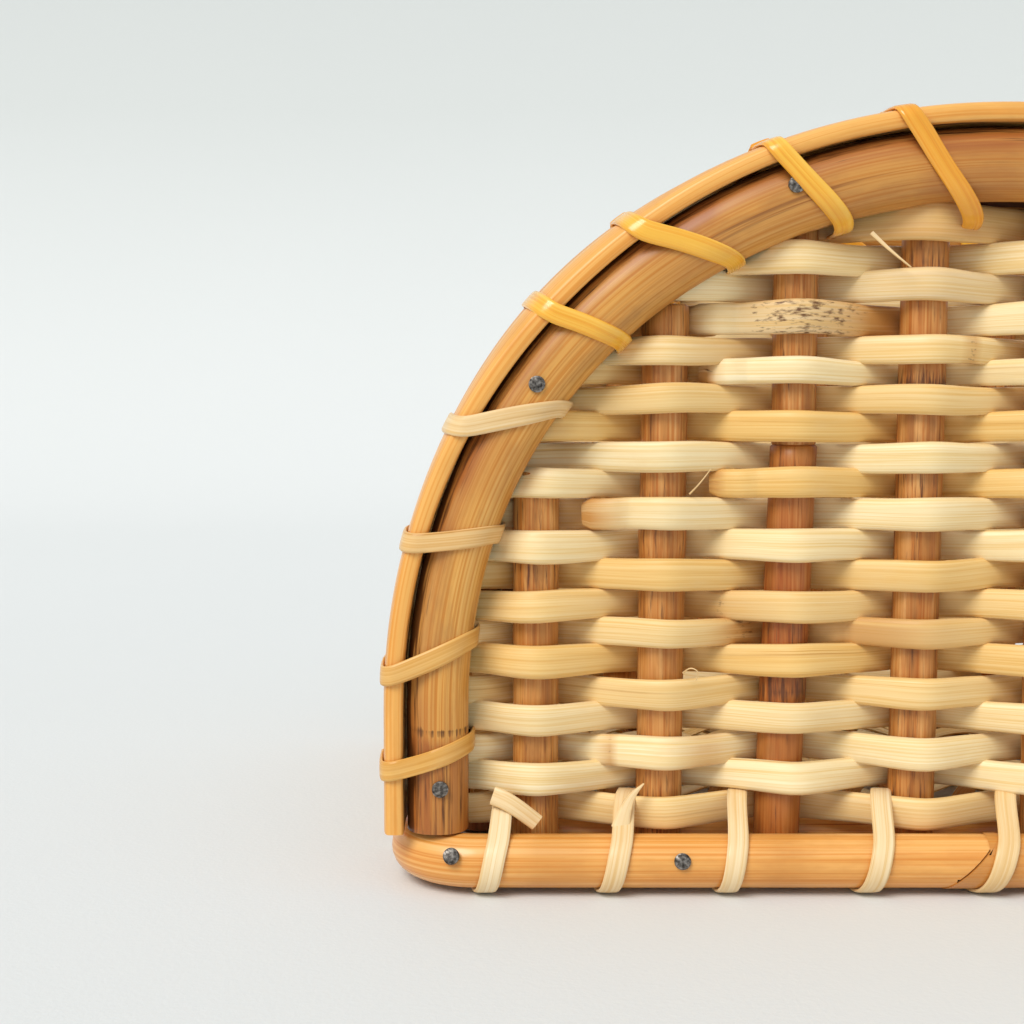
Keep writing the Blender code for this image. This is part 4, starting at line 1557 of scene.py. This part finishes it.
@dataclass
class Studio:
    """A pale cloth sweep, soft light and the camera."""

    eye: tuple[float, float, float] = (-97.3, -371.25, 99.0)  # mm
    pitch: float = 4.12  # degrees down
    lens: float = 53.46
    sweep_back: float = 1.7
    sweep_front: float = -2.2

    def build(self) -> None:
        """Build the sweep, the lights and the camera."""
        self.build_sweep()
        scene = bpy.context.scene
        scene.view_settings.view_transform = "Standard"
        world = bpy.data.worlds.new("soft_room")
        scene.world = world
        world.use_nodes = True
        back = world.node_tree.nodes["Background"]
        back.inputs["Color"].default_value = linear("F3F8FA")
        back.inputs["Strength"].default_value = 0.66
        sun = bpy.data.lights.new("soft_window", "SUN")
        sun.energy, sun.angle, sun.color = 2.15, math.radians(32), linear("FFFDF8")[:3]
        lamp = bpy.data.objects.new("soft_window", sun)
        lamp.rotation_euler = Vector((0.42, 0.62, -0.78)).to_track_quat("-Z", "Y").to_euler()
        scene.collection.objects.link(lamp)
        camera = bpy.data.cameras.new("camera")
        camera.lens = self.lens
        camera.clip_start = 0.01
        eye = bpy.data.objects.new("camera", camera)
        eye.location = [v * MM for v in self.eye]
        eye.rotation_euler = (math.radians(90 - self.pitch), 0, 0)
        scene.collection.objects.link(eye)
        scene.camera = eye

    def build_sweep(self) -> None:
        """Build the floor and the wall behind it as one cloth with a wide bend."""
        bpy.ops.object.select_all(action="DESELECT")
        bpy.ops.mesh.primitive_plane_add(size=1.0)
        sweep = bpy.context.active_object
        sweep.name = "cloth_sweep"
        for vert in sweep.data.vertices:
            vert.co.x *= 9.0
            vert.co.y = self.sweep_back if vert.co.y > 0 else self.sweep_front
        bpy.ops.object.mode_set(mode="EDIT")
        bpy.ops.mesh.select_mode(type="EDGE")
        bpy.ops.mesh.select_all(action="DESELECT")
        bm = bmesh.from_edit_mesh(sweep.data)
        for edge in bm.edges:
            edge.select = all(v.co.y > self.sweep_back - 0.01 for v in edge.verts)
        bmesh.update_edit_mesh(sweep.data)
        bpy.ops.mesh.extrude_region_move(TRANSFORM_OT_translate={"value": (0, 0, 3.0)})
        bpy.ops.mesh.select_all(action="DESELECT")
        bm = bmesh.from_edit_mesh(sweep.data)
        for edge in bm.edges:
            edge.select = all(v.co.y > self.sweep_back - 0.01 and v.co.z < 0.01 for v in edge.verts)
        bmesh.update_edit_mesh(sweep.data)
        bpy.ops.mesh.bevel(offset=0.9, segments=16)
        bpy.ops.object.mode_set(mode="OBJECT")
        sweep.data.shade_smooth()
        cloth = bpy.data.materials.new("white_cotton_cloth")
        cloth.use_nodes = True
        tree = cloth.node_tree
        shader = tree.nodes["Principled BSDF"]
        place = add(tree, "ShaderNodeTexCoord").outputs["Object"]
        weave = add(tree, "ShaderNodeTexNoise", {"Vector": place, "Scale": 1000 / 1.2, "Detail": 2.0})
        broad = add(tree, "ShaderNodeTexNoise", {"Vector": place, "Scale": 3.0, "Detail": 2.0})
        # The cloth is painted darker up the wall, over its first half metre of height: painted shade.
        height = add(tree, "ShaderNodeSeparateXYZ", {"Vector": place})
        rise = add(tree, "ShaderNodeMapRange", {"Value": height.outputs["Z"], FROM_HIGH: 0.5})
        falls = add(
            tree, "ShaderNodeMath", {0: broad.outputs["Fac"], 1: 0.12, 2: rise.outputs[0]},
            operation="MULTIPLY_ADD",
        )
        shade = add(
            tree, "ShaderNodeValToRGB", {"Fac": falls.outputs[0]}, stops=[(0.0, "DFE1E2"), (1.0, "CED1D0")]
        )
        bump = add(
            tree, "ShaderNodeBump", {"Strength": 0.35, "Distance": 0.2 * MM, "Height": weave.outputs["Fac"]}
        )
        tree.links.new(shade.outputs[0], shader.inputs["Base Color"])
        tree.links.new(bump.outputs[0], shader.inputs["Normal"])
        shader.inputs["Roughness"].default_value = 0.9
        shader.inputs["Specular IOR Level"].default_value = 0.2
        sweep.data.materials.append(cloth)
        sweep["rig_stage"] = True


def main() -> None:
    """Build the studio and every part of the basket."""
    logging.basicConfig(level=logging.INFO, format="%(name)s %(message)s")
    Studio().build()
    TallSide(Wall.FRONT, 100).build()
    TallSide(Wall.BACK, 300).build()
    LowEnd(Wall.LEFT, 500).build()
    LowEnd(Wall.RIGHT, 700).build()
    BaseRing("base_ring", 13.0 * MM, -5.0 * MM).build()
    BaseRing("inner_base_ring", 8.0 * MM, -5.0 * MM, turn=180.0).build()
    WovenFloor().build()
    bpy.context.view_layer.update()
    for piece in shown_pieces():
        if not piece.data.materials:
            log.warning("%s has no finish", piece.name)


if __name__ == "__main__":
    main()
